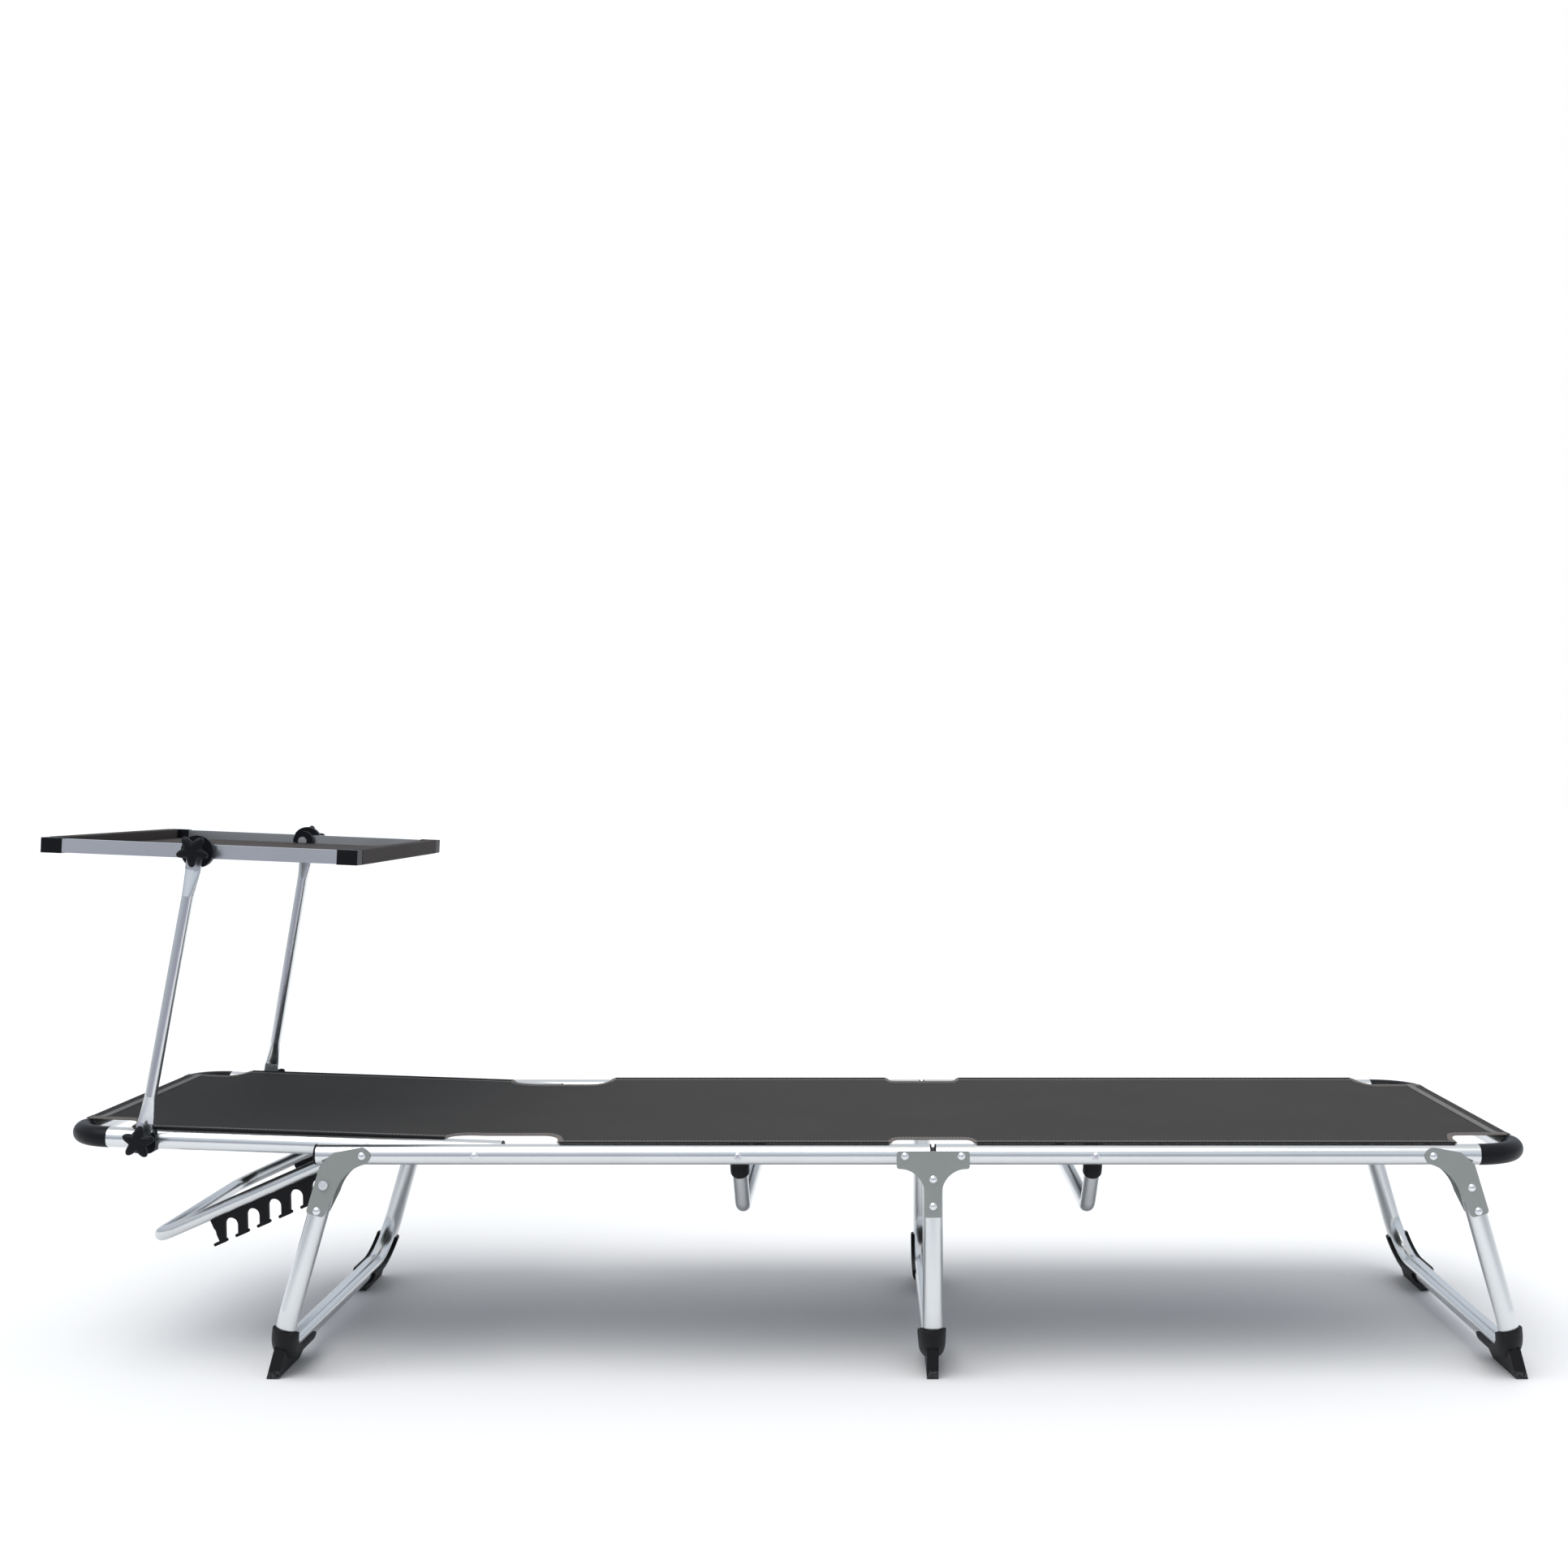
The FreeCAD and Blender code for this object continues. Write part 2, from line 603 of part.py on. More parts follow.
def notch_plate():
    """One toothed plate, in the plane of its arm: notches open downwards, feet at the teeth."""
    slant = math.radians(prop_slope)
    down = Vector(math.sin(slant), 0, -math.cos(slant))
    across = Vector(math.cos(slant), 0, math.sin(slant))
    half = notch_width / 2
    thickness = notch_plate_thickness
    lowest = -notch_plate_depth
    first = notch_first - half * 0.4
    last = notch_first + notch_pitch * notch_count - 8.0
    body = Part.makeBox(last - first, thickness, notch_plate_depth - notch_root,
                        Vector(first, -thickness / 2, lowest))
    for n in range(notch_count + 1):
        centre = Vector(notch_first + n * notch_pitch, 0, -notch_top - half)
        length = notch_plate_depth
        round_top = cross_rod(centre.x, centre.z, -thickness, thickness, half)
        corners = [centre - across * half, centre + across * half,
                   centre + across * half + down * length,
                   centre - across * half + down * length]
        edges = [line(a, b) for a, b in zip(corners, corners[1:] + corners[:1])]
        shaft = face_of([e.translated(Vector(0, -thickness, 0)) for e in edges],
                        2 * thickness, Y_AXIS)
        body = body.cut(round_top.fuse(shaft))
    body = body.cut(Part.makeBox(30, 20, 60, Vector(first - 10, -10, -notch_top - 60)))
    reach = (notch_plate_depth - notch_top - half) * math.tan(slant)
    for n in range(notch_count):
        centre = notch_first + (n + 0.5) * notch_pitch + reach
        foot_box = Part.makeBox(notch_foot_length, thickness, notch_foot_height,
                                Vector(centre - notch_foot_length / 2, -thickness / 2, lowest))
        round_off = [e for e in foot_box.Edges if abs(e.tangentAt(e.FirstParameter).y) > 0.9]
        body = body.fuse(foot_box.makeFillet(notch_foot_height * 0.4, round_off))
    edge = (notch_first + (first_bevel - notch_top - half) * math.tan(slant)
            + half / math.cos(slant))
    cut = notch_plate_depth - first_bevel + 1.0
    bevel = [Vector(edge, -thickness, -first_bevel),
             Vector(edge + cut, -thickness, -first_bevel - cut),
             Vector(notch_first, -thickness, -first_bevel - cut),
             Vector(notch_first, -thickness, -first_bevel)]
    sides = [line(a, b) for a, b in zip(bevel, bevel[1:] + bevel[:1])]
    body = body.removeSplitter().cut(face_of(sides, 2 * thickness, Y_AXIS))
    splay = math.degrees(math.atan((prop_hinge_y - prop_closed_y) / prop_reach))
    body.rotate(Vector(0, 0, 0), Vector(0, 0, 1), -splay)
    body.translate(Vector(0, prop_hinge_y, 0))
    arm = rod(Vector(0, prop_arm_y(0), 0), Vector(prop_reach, prop_arm_y(prop_reach), 0),
              prop_diameter / 2 + 0.05)
    pieces = body.cut(arm).Solids
    return max(pieces, key=lambda s: s.Volume)


def rod_place():
    """Where the catch rod lies: seated in the first notch at rest."""
    along = notch_first
    under = notch_top + rod_diameter / 2 + rod_seat
    slope = math.radians(prop_slope)
    rise = math.radians(backrest_rise)
    hinge_x = backrest_pivot_x - prop_hinge_distance * math.cos(rise)
    hinge_z = rail_height + prop_hinge_distance * math.sin(rise)
    x = hinge_x - along * math.cos(slope) + under * math.sin(slope)
    z = hinge_z - along * math.sin(slope) - under * math.cos(slope)
    return x, z


# ---------------------------------------------------------------- sunshade

def flat_end(at, towards, width=arm_end_width):
    """The flattened end of a shade arm: a rounded strip and the taper to the round tube."""
    half = arm_end_thickness / 2
    eye = Part.makeCylinder(width / 2, arm_end_thickness, at - Vector(0, half, 0), Y_AXIS)
    strip_end = at + towards * arm_end_length
    side = towards.cross(Y_AXIS).normalize()
    corners = [at + side * width / 2, at - side * width / 2,
               strip_end - side * width / 2, strip_end + side * width / 2]
    edges = [line(a, b) for a, b in zip(corners, corners[1:] + corners[:1])]
    strip = face_of([e.translated(Vector(0, -half, 0)) for e in edges],
                    arm_end_thickness, Y_AXIS)
    return eye.fuse(strip)


def ellipse_wire(centre, along, major, minor):
    """An ellipse across the direction along, with its major axis across Y."""
    side = along.cross(Y_AXIS).normalize()
    if major == minor:
        return Part.Wire(Part.makeCircle(major, centre, along))
    thin = side.cross(along).normalize()
    curve = Part.Ellipse(centre + side * major, centre + thin * minor, centre)
    return Part.Wire(curve.toShape())


def shade_arm():
    low = Vector(shade_pivot_x, arm_low_y, rail_height)
    lean = math.radians(shade_arm_lean - backrest_rise)
    up = Vector(math.sin(lean), 0, math.cos(lean))
    high = low + up * shade_arm_length
    high.y = arm_top_y
    strip_low = low + up * arm_end_length
    strip_high = high - up * arm_end_length
    shaft_low = low + up * (arm_end_length + arm_taper)
    shaft_high = high - up * (arm_end_length + arm_taper)
    shaft_low.y -= 0.2 * (arm_low_y - arm_top_y)
    shaft_high.y += 0.2 * (arm_low_y - arm_top_y)
    radius = shade_arm_diameter / 2
    along = (shaft_high - shaft_low).normalize()
    shaft = rod(shaft_low, shaft_high, radius)
    bore = rod(shaft_low, shaft_high, radius - shade_arm_wall)
    flat = (arm_end_width / 2, arm_end_thickness / 2)
    taper_low = Part.makeLoft([ellipse_wire(strip_low, up, *flat),
                               ellipse_wire(shaft_low, along, radius, radius)], True)
    taper_high = Part.makeLoft([ellipse_wire(shaft_high, along, radius, radius),
                                ellipse_wire(strip_high, up, *flat)], True)
    arm = shaft.cut(bore).fuse([taper_low, taper_high, flat_end(low, up), flat_end(high, -up)])
    for end in (low, high):
        arm = arm.cut(hole(end.x, end.z, end.y - 20, end.y + 20, bolt_radius))
    return arm.removeSplitter(), high


def shade_clamp():
    """A plastic block that hugs the backrest rail's outer half and seats the arm."""
    outer = backrest_y + rail_radius + clamp_thickness
    low = rail_height - clamp_size / 2
    top = rail_height + rail_radius + sling_gap
    block = Part.makeBox(clamp_size, outer - backrest_y, top - low,
                         Vector(shade_pivot_x - clamp_size / 2, backrest_y, low))
    edges = [e for e in block.Edges if abs(e.tangentAt(e.FirstParameter).y) > 0.9]
    block = block.makeFillet(clamp_round, edges)
    block = block.cut(cross_rod_x(shade_pivot_x - 40, shade_pivot_x + 40, backrest_y,
                                  rail_height, rail_radius))
    return block.cut(hole(shade_pivot_x, rail_height, backrest_y, outer + 1, bolt_radius))


def clamp_bolt(x, z, y_inner, y_outer):
    """A knob's bolt along Y, with a round head on its inner end."""
    shank = cross_rod(x, z, y_inner, y_outer, bolt_radius)
    head = cross_rod(x, z, y_inner - bolt_head_thickness, y_inner, bolt_radius + bolt_head_extra)
    return shank.fuse(head).removeSplitter()


def star_knob(x, z, y_seat):
    """A star knob on the outer side: a stem, a hub and rounded lobes, bored for its bolt."""
    stem = cross_rod(x, z, y_seat, y_seat + knob_stem, knob_stem_radius)
    y = y_seat + knob_stem
    star = cross_rod(x, z, y, y + knob_thickness, knob_hub_radius)
    reach = knob_radius - knob_lobe_radius
    for n in range(knob_lobes):
        angle = math.radians(90 + 360.0 * n / knob_lobes)
        centre = Vector(x + reach * math.cos(angle), 0, z + reach * math.sin(angle))
        lobe = cross_rod(centre.x, centre.z, y, y + knob_thickness, knob_lobe_radius)
        web = Part.makeBox(reach, knob_thickness, 2 * knob_lobe_radius * 0.8,
                           Vector(x, y, z - knob_lobe_radius * 0.8))
        web.rotate(Vector(x, 0, z), Y_AXIS, -math.degrees(angle))
        star = star.fuse([lobe, web])
    star = star.removeSplitter()
    rims = [e for e in star.Edges if abs(e.BoundBox.YMin - (y + knob_thickness)) < 0.01
            and abs(e.BoundBox.YMax - (y + knob_thickness)) < 0.01]
    star = star.makeFillet(2.5, rims)
    knob = star.fuse(stem).removeSplitter()
    depth = knob_stem + knob_thickness - 5.0
    return knob.cut(cross_rod(x, z, y_seat, y_seat + depth, bolt_radius + pin_play))


def canopy_box(x_start, x_end, y_start, y_end, low, high, x, z):
    """A box in the canopy's frame, whose origin is its pivot at (x, z)."""
    return Part.makeBox(x_end - x_start, y_end - y_start, high - low,
                        Vector(x + x_start, y_start, z + low))


def panel(steps):
    """A flat piece of the sling from (x_start, x_end, half_width) steps that follow on."""
    low = rail_height + rail_radius + sling_gap + elbow_extra
    boxes = [Part.makeBox(x_end - x_start, 2 * half, sling_thickness,
                          Vector(x_start, -half, low)) for x_start, x_end, half in steps]
    whole = boxes[0]
    for box in boxes[1:]:
        whole = whole.fuse(box)
    return whole.removeSplitter()


def sling():
    """The sling's panels: one sheet on the real object, divided where the frame folds."""
    half_length = lounger_length / 2
    wide = rail_y + rail_radius - sling_edge
    narrow = backrest_y + rail_radius - sling_edge
    head_waist = rail_y - sling_waist_inset
    middle_waist = rail_y - sling_middle_inset
    head_hem = half_length - sling_head_hem
    foot_hem = half_length - sling_foot_hem
    before = middle_x - sling_middle_cutout
    after = middle_x + sling_middle_cutout
    strip = sling_middle_half
    backrest = panel([(rail_radius - half_length, -head_hem, backrest_y - head_corner_radius),
                      (-head_hem, sling_backrest_end, narrow),
                      (sling_backrest_end, backrest_pivot_x - sling_fold_before, head_waist)])
    return {
        "sling_backrest": on_backrest(backrest),
        "sling_base": panel([
            (backrest_pivot_x + sling_fold_after, sling_base_start, head_waist),
            (sling_base_start, before, wide),
            (before, middle_x - strip - sling_middle_gap, middle_waist)]),
        "sling_middle": panel([(middle_x - strip, middle_x + strip, middle_waist)]),
        "sling_foot": panel([(middle_x + strip + sling_middle_gap, after, middle_waist),
                             (after, foot_hem, wide),
                             (foot_hem, half_length - rail_radius,
                              rail_y - foot_corner_radius)]),
    }


# ---------------------------------------------------------------- all the parts

def rod_holes(shape, x, z):
    return shape.cut(cross_rod(x, z, -rail_y - 40, rail_y + 40, rod_diameter / 2 + plug_play))


def build():
    parts = {}

    # base frame
    rail = base_rail()
    parts["base_rail_left"] = rail
    parts["base_rail_right"] = mirrored(rail)
    head_plug = plug(Vector(base_head_x + end_plug_flange, rail_y, rail_height),
                     Vector(-1, 0, 0), end_plug_flange)
    middle_plug = plug(Vector(middle_x - middle_half_gap, rail_y, rail_height), Vector(1, 0, 0))
    parts["base_rail_plugs"] = Part.makeCompound(
        [head_plug, mirrored(head_plug), middle_plug, mirrored(middle_plug)])
    parts["base_cross_bar"] = cross_bar(base_bar_x)
    parts["base_cross_bar_cups"] = pair(bar_cup(base_bar_x))
    parts["base_cross_bar_bolts"] = pair(bar_bolt(base_bar_x))
    inner = backrest_y - rail_radius
    backrest_pin = rivet(backrest_pivot_x, rail_height, inner, rail_y + rail_radius)
    base_pins = [backrest_pin, plate_rivet(head_leg_pivot_x, rail_height),
                 plate_rivet(middle_x - leg_offset, rail_height)]
    parts["base_pivot_rivets"] = Part.makeCompound(base_pins + [mirrored(p) for p in base_pins])
    gap = backrest_inset - rail_diameter
    washer = cross_rod(backrest_pivot_x, rail_height, backrest_y + rail_radius + side_play,
                       backrest_y + rail_radius + gap, pivot_washer_radius)
    washer = washer.cut(hole(backrest_pivot_x, rail_height, 0, rail_y))
    parts["backrest_pivot_washers"] = pair(washer)

    # legs
    rod_x, rod_z = rod_place()
    for name, pivot_x, side in (("head", head_leg_pivot_x, -1), ("foot", foot_leg_pivot_x, 1)):
        def put(shape):
            return placed_leg(shape, pivot_x, side)
        body = put(leg_tube(end_leg_depth, end_leg_top, end_rivets))
        plugs = put(leg_plugs(end_leg_top, end_rivets))
        plate_holes = [(-leg_offset, 0)] + [(0, -a) for a in end_rivets]
        flat = put(plates(end_plate(), plate_holes))
        if side < 0:
            body, plugs, flat = [rod_holes(s, rod_x, rod_z) for s in (body, plugs, flat)]
        parts[name + "_leg_tube"] = body
        parts[name + "_leg_plugs"] = plugs
        parts[name + "_leg_plates"] = Part.makeCompound([flat, mirrored(flat)])
        along = end_rivets if side > 0 else end_rivets[1:]
        rivets = put(Part.makeCompound([plate_rivet(0, -a) for a in along]))
        parts[name + "_leg_rivets"] = Part.makeCompound([rivets, mirrored(rivets)])
        parts[name + "_feet"] = put(pair(finished_foot(end_leg_depth, leg_tilt)))
    rod_y = rail_y + rail_radius + plate_play + plate_thickness
    catch = cross_rod(rod_x, rod_z, -rod_y, rod_y, rod_diameter / 2)
    rod_head = cross_rod(rod_x, rod_z, rod_y, rod_y + rod_head_height, rod_head_radius)
    parts["catch_rod"] = catch.fuse([rod_head, mirrored(rod_head)]).removeSplitter()

    def put_middle(shape):
        return moved(shape, middle_x, 0, rail_height)
    parts["middle_leg_tube"] = put_middle(leg_tube(middle_leg_depth, middle_leg_top,
                                                   middle_rivets))
    parts["middle_leg_plugs"] = put_middle(leg_plugs(middle_leg_top, middle_rivets))
    plate_holes = [(-leg_offset, 0), (leg_offset, 0)] + [(0, -a) for a in middle_rivets]
    flat = plates(middle_plate(), plate_holes)
    parts["middle_leg_plates"] = put_middle(Part.makeCompound([flat, mirrored(flat)]))
    rivets = Part.makeCompound([plate_rivet(0, -a) for a in middle_rivets])
    parts["middle_leg_rivets"] = put_middle(Part.makeCompound([rivets, mirrored(rivets)]))
    parts["middle_feet"] = put_middle(pair(finished_foot(middle_leg_depth, 0.0)))

    # foot frame
    rail = foot_rail()
    parts["foot_rail_left"] = rail
    parts["foot_rail_right"] = mirrored(rail)
    parts["foot_end_tube"] = end_tube(end_x, rail_y, foot_corner_radius)
    parts["foot_corners"] = pair(corner(end_x, rail_y, foot_corner_radius, 1))
    parts["foot_rail_plugs"] = pair(plug(
        Vector(middle_x + middle_half_gap, rail_y, rail_height), Vector(-1, 0, 0)))
    parts["foot_cross_bar"] = cross_bar(foot_bar_x)
    parts["foot_cross_bar_cups"] = pair(bar_cup(foot_bar_x))
    parts["foot_cross_bar_bolts"] = pair(bar_bolt(foot_bar_x))
    foot_pins = [plate_rivet(middle_x + leg_offset, rail_height),
                 plate_rivet(foot_leg_pivot_x, rail_height)]
    parts["foot_pivot_rivets"] = Part.makeCompound(foot_pins + [mirrored(p) for p in foot_pins])

    # backrest
    rail = on_backrest(backrest_rail())
    parts["backrest_rail_left"] = rail
    parts["backrest_rail_right"] = mirrored(rail)
    parts["head_end_tube"] = on_backrest(end_tube(-end_x, backrest_y, head_corner_radius))
    parts["head_corners"] = on_backrest(pair(corner(-end_x, backrest_y,
                                                    head_corner_radius, -1)))
    parts["backrest_rail_plugs"] = on_backrest(pair(plug(
        Vector(backrest_pivot_x + backrest_tail, backrest_y, rail_height), Vector(1, 0, 0))))
    hinge_x = backrest_pivot_x - prop_hinge_distance
    lug_reach = prop_lug_thickness / 2 + side_play
    hinge_pin = flat_pin(hinge_x, rail_height, prop_hinge_y - lug_reach,
                         backrest_y + rail_radius, prop_pin_outer_head, prop_pin_inner_head)
    parts["prop_hinge_rivets"] = on_backrest(pair(hinge_pin))
    spacer = cross_rod(hinge_x, rail_height, prop_hinge_y + lug_reach,
                       backrest_y - rail_radius, prop_spacer_radius)
    spacer = spacer.cut(hole(hinge_x, rail_height, 0, rail_y))
    parts["prop_hinge_spacers"] = on_backrest(pair(spacer))
    parts["shade_clamps"] = on_backrest(pair(shade_clamp()))
    arm_outer = arm_low_y + arm_end_thickness / 2
    bolt_reach = knob_stem + knob_thickness - 6.0
    parts["shade_clamp_bolts"] = on_backrest(pair(clamp_bolt(
        shade_pivot_x, rail_height, backrest_y - rail_radius, arm_outer + bolt_reach)))

    # prop
    parts["prop_bar"] = prop_frame(prop_bar())
    parts["prop_notch_plates"] = prop_frame(pair(notch_plate()))

    # sunshade
    arm, top = shade_arm()
    parts["shade_arm_left"] = on_backrest(arm)
    parts["shade_arm_right"] = mirrored(parts["shade_arm_left"])
    lower = on_backrest(star_knob(shade_pivot_x, rail_height, arm_outer + joint_play))
    parts["lower_knob_left"] = lower
    parts["lower_knob_right"] = mirrored(lower)
    top_point = on_backrest(Part.Vertex(top)).Point
    tx, tz = top_point.x, top_point.z
    half = canopy_length / 2
    rail_half = canopy_rail_height / 2
    out_y = canopy_width / 2

    def canopy(shape):
        return turned(shape, tx, tz, canopy_tilt)
    side = canopy_box(-half + canopy_corner_length, half - canopy_corner_length,
                      out_y - canopy_rail_width, out_y, -rail_half, rail_half, tx, tz)
    inside = canopy_box(-half, half, out_y - canopy_rail_width + tube_wall, out_y - tube_wall,
                        -rail_half + tube_wall, rail_half - tube_wall, tx, tz)
    side = side.cut(inside).cut(hole(tx, tz, out_y - 30, out_y + 30, bolt_radius))
    parts["canopy_side_rails"] = canopy(pair(side))
    end = canopy_box(half - canopy_rail_width, half, -out_y + canopy_corner_length,
                     out_y - canopy_corner_length, -rail_half, rail_half, tx, tz)
    hollow = canopy_box(half - canopy_rail_width + tube_wall, half - tube_wall, -out_y, out_y,
                        -rail_half + tube_wall, rail_half - tube_wall, tx, tz)
    end = end.cut(hollow)
    other = end.mirror(Vector(tx, 0, 0), Vector(1, 0, 0))
    parts["canopy_end_rails"] = canopy(Part.makeCompound([end, other]))
    extra = canopy_corner_extra
    cap = canopy_box(half - canopy_corner_length, half + extra, out_y - canopy_corner_length,
                     out_y + extra, -rail_half - extra, rail_half + extra, tx, tz)
    cap = cap.cut(canopy_box(half - canopy_corner_length - 1, half - canopy_rail_width - extra,
                             out_y - canopy_corner_length - 1,
                             out_y - canopy_rail_width - extra, -40, 40, tx, tz))
    caps = [cap, mirrored(cap)]
    caps += [c.mirror(Vector(tx, 0, 0), Vector(1, 0, 0)) for c in caps]
    parts["canopy_corners"] = canopy(Part.makeCompound(caps))
    inset = canopy_rail_width + canopy_corner_extra + sling_gap
    fabric = canopy_box(-half + inset, half - inset, -out_y + inset, out_y - inset,
                        -canopy_fabric_drop - canopy_fabric_thickness, -canopy_fabric_drop,
                        tx, tz)
    cut_out = canopy_corner_length
    for x, y in ((-half, -out_y), (-half, out_y), (half, -out_y), (half, out_y)):
        fabric = fabric.cut(canopy_box(x - cut_out, x + cut_out, y - cut_out, y + cut_out,
                                       -rail_half, rail_half, tx, tz))
    parts["canopy_fabric"] = canopy(fabric)
    disc = cross_rod(tx, tz, out_y, out_y + canopy_disc_thickness, canopy_disc_radius)
    disc = disc.cut(hole(tx, tz, out_y - 1, out_y + 20, bolt_radius))
    bracket_in = out_y - canopy_rail_width - canopy_bracket_thickness
    arch = cross_rod(tx, tz, bracket_in, out_y - canopy_rail_width, canopy_bracket_radius)
    arch = arch.cut(canopy_box(-30, 30, bracket_in - 1, out_y, -30,
                               -canopy_fabric_drop + sling_gap, tx, tz))
    arch = arch.cut(hole(tx, tz, 0, out_y, bolt_radius))
    parts["canopy_pivot_blocks"] = canopy(Part.makeCompound(
        [disc, mirrored(disc), arch, mirrored(arch)]))
    top_outer = arm_top_y + arm_end_thickness / 2
    bolt = clamp_bolt(tx, tz, bracket_in, top_outer + bolt_reach)
    bolt = bolt.cut(canopy_box(-30, 30, bracket_in - 9, out_y - canopy_rail_width, -30,
                               -canopy_fabric_drop + sling_gap, tx, tz))
    parts["canopy_bolts"] = canopy(pair(bolt))
    upper = star_knob(tx, tz, top_outer + joint_play)
    parts["upper_knob_left"] = canopy(upper)
    parts["upper_knob_right"] = mirrored(parts["upper_knob_left"])

    # sling
    parts.update(sling())

    # the canopy's highest head-side corner and the foot end set the middle of the footprint
    t = math.radians(canopy_tilt)
    head_most = min(
        tx - (half + extra) * math.cos(t) + sz * (rail_half + extra) * math.sin(t)
        for sz in (-1, 1))
    origin_x = (head_most + lounger_length / 2) / 2
    return parts, origin_x, (tx, tz)


def save(parts, origin_x):
    os.makedirs("parts", exist_ok=True)
    for name, shape in parts.items():
        moved(shape, -origin_x).exportStep("parts/" + name + ".step")


if __name__ == "__main__":
    all_parts, centre_x, top_pivot = build()
    save(all_parts, centre_x)
    rod_x, rod_z = rod_place()
    print("parts", len(all_parts), "origin_x", round(centre_x, 4))
    print("backrest_pivot", round(backrest_pivot_x - centre_x, 4), rail_height)
    print("shade_top_pivot", round(top_pivot[0] - centre_x, 4), round(top_pivot[1], 4))
    print("catch_rod", round(rod_x - centre_x, 4), round(rod_z, 4))
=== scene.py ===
# %% [markdown]
# # A folding sun lounger with a sunshade
# The frame, its legs, plates, plugs, knobs and feet come ready-made from the CAD model, each
# in its right place. This lesson gives every one of them a finish, and builds the soft goods
# that CAD only holds a place for: the sling that one lies on, its hems and bindings, and the
# cloth of the sunshade. All sizes are in metres.

# %% Load the frame
import json
import math

import bpy
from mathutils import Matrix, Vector


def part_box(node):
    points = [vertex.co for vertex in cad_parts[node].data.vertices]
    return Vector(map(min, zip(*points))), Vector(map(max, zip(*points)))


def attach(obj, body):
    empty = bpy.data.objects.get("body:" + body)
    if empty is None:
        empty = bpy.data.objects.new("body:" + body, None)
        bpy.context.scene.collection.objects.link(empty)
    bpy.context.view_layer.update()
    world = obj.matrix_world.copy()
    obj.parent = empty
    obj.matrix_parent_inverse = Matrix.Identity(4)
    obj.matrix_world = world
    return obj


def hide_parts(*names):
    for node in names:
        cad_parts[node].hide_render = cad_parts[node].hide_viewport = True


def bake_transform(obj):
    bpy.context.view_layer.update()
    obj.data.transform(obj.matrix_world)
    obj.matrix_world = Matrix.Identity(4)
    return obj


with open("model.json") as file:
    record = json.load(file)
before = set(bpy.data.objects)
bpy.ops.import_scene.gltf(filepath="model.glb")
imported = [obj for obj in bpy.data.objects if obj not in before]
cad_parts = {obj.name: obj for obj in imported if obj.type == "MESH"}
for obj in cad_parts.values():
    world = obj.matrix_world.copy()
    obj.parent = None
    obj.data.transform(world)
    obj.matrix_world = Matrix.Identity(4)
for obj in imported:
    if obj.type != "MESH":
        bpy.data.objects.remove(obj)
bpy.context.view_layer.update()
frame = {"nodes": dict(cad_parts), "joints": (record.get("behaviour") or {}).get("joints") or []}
nodes = frame["nodes"]
joints = {joint["name"]: joint for joint in frame["joints"]}

# %% [markdown]
# ## Where the frame's parts are
# Every soft piece lies on the rails or hangs between them. Their places could be typed in as
# numbers, but taken from the boxes of the CAD nodes and from the joints' axes they fit exactly,
# and go on fitting when the frame is made longer or wider.

# %% Measure the frame
RAIL_RADIUS = 0.013
CLOTH_LIFT = 0.0009           # middle of the cloth above the tubes it lies on
base_low, base_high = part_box("base_rail_left")
back_low, back_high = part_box("backrest_rail_left")
foot_low, foot_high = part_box("foot_end_tube")
head_low, head_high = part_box("head_end_tube")
RAIL_Z = (base_low.z + base_high.z) / 2
BASE_Y = (base_low.y + base_high.y) / 2
BACK_Y = (back_low.y + back_high.y) / 2
HEAD_X = (head_low.x + head_high.x) / 2
FOOT_X = (foot_low.x + foot_high.x) / 2
HEAD_Z = (head_low.z + head_high.z) / 2


def axis_of(name):
    """The point a joint turns about."""
    return Vector(joints[name]["pos_m"])


PIVOT_X = axis_of("backrest_recline").x
MIDDLE_HEAD_X = axis_of("middle_leg_fold").x
MIDDLE_FOOT_X = axis_of("foot_frame_fold").x
MIDDLE_X = (MIDDLE_HEAD_X + MIDDLE_FOOT_X) / 2
CANOPY_PIVOT = axis_of("canopy_tilt")
BACK_SLOPE = (HEAD_Z - RAIL_Z) / (PIVOT_X - HEAD_X)
print("rails at", round(BASE_Y, 4), round(BACK_Y, 4), "ends at", round(HEAD_X, 4), round(FOOT_X, 4))

# %% [markdown]
# ## Writing shader maths
# A material is a tree of nodes, and a sum of three numbers is already two Math nodes. They
# could be added and linked one by one, but an expression is easier to read. The small class
# below wraps one socket, so that an ordinary expression adds those nodes. The second class
# holds a tree and has a single way to add any other node, and the third is one material.

# %% Wires and finishes
class Wire:
    """One value in a tree of nodes. Sums and comparisons on it add Math nodes."""

    def __init__(self, shading, socket):
        self.shading = shading
        self.socket = socket

    def maths(self, operation, *values):
        return self.shading.node("ShaderNodeMath", {"operation": operation}, values)

    def __add__(self, other):
        return self.maths("ADD", self, other)

    def __radd__(self, other):
        return self.maths("ADD", other, self)

    def __sub__(self, other):
        return self.maths("SUBTRACT", self, other)

    def __rsub__(self, other):
        return self.maths("SUBTRACT", other, self)

    def __mul__(self, other):
        return self.maths("MULTIPLY", self, other)

    def __rmul__(self, other):
        return self.maths("MULTIPLY", other, self)

    def __truediv__(self, other):
        return self.maths("DIVIDE", self, other)

    def __gt__(self, other):
        return self.maths("GREATER_THAN", self, other)

    def __lt__(self, other):
        return self.maths("LESS_THAN", self, other)

    def __abs__(self):
        return self.maths("ABSOLUTE", self)

    def sine(self):
        return self.maths("SINE", self)

    def floor(self):
        return self.maths("FLOOR", self)

    def fraction(self):
        return self.maths("FRACT", self)


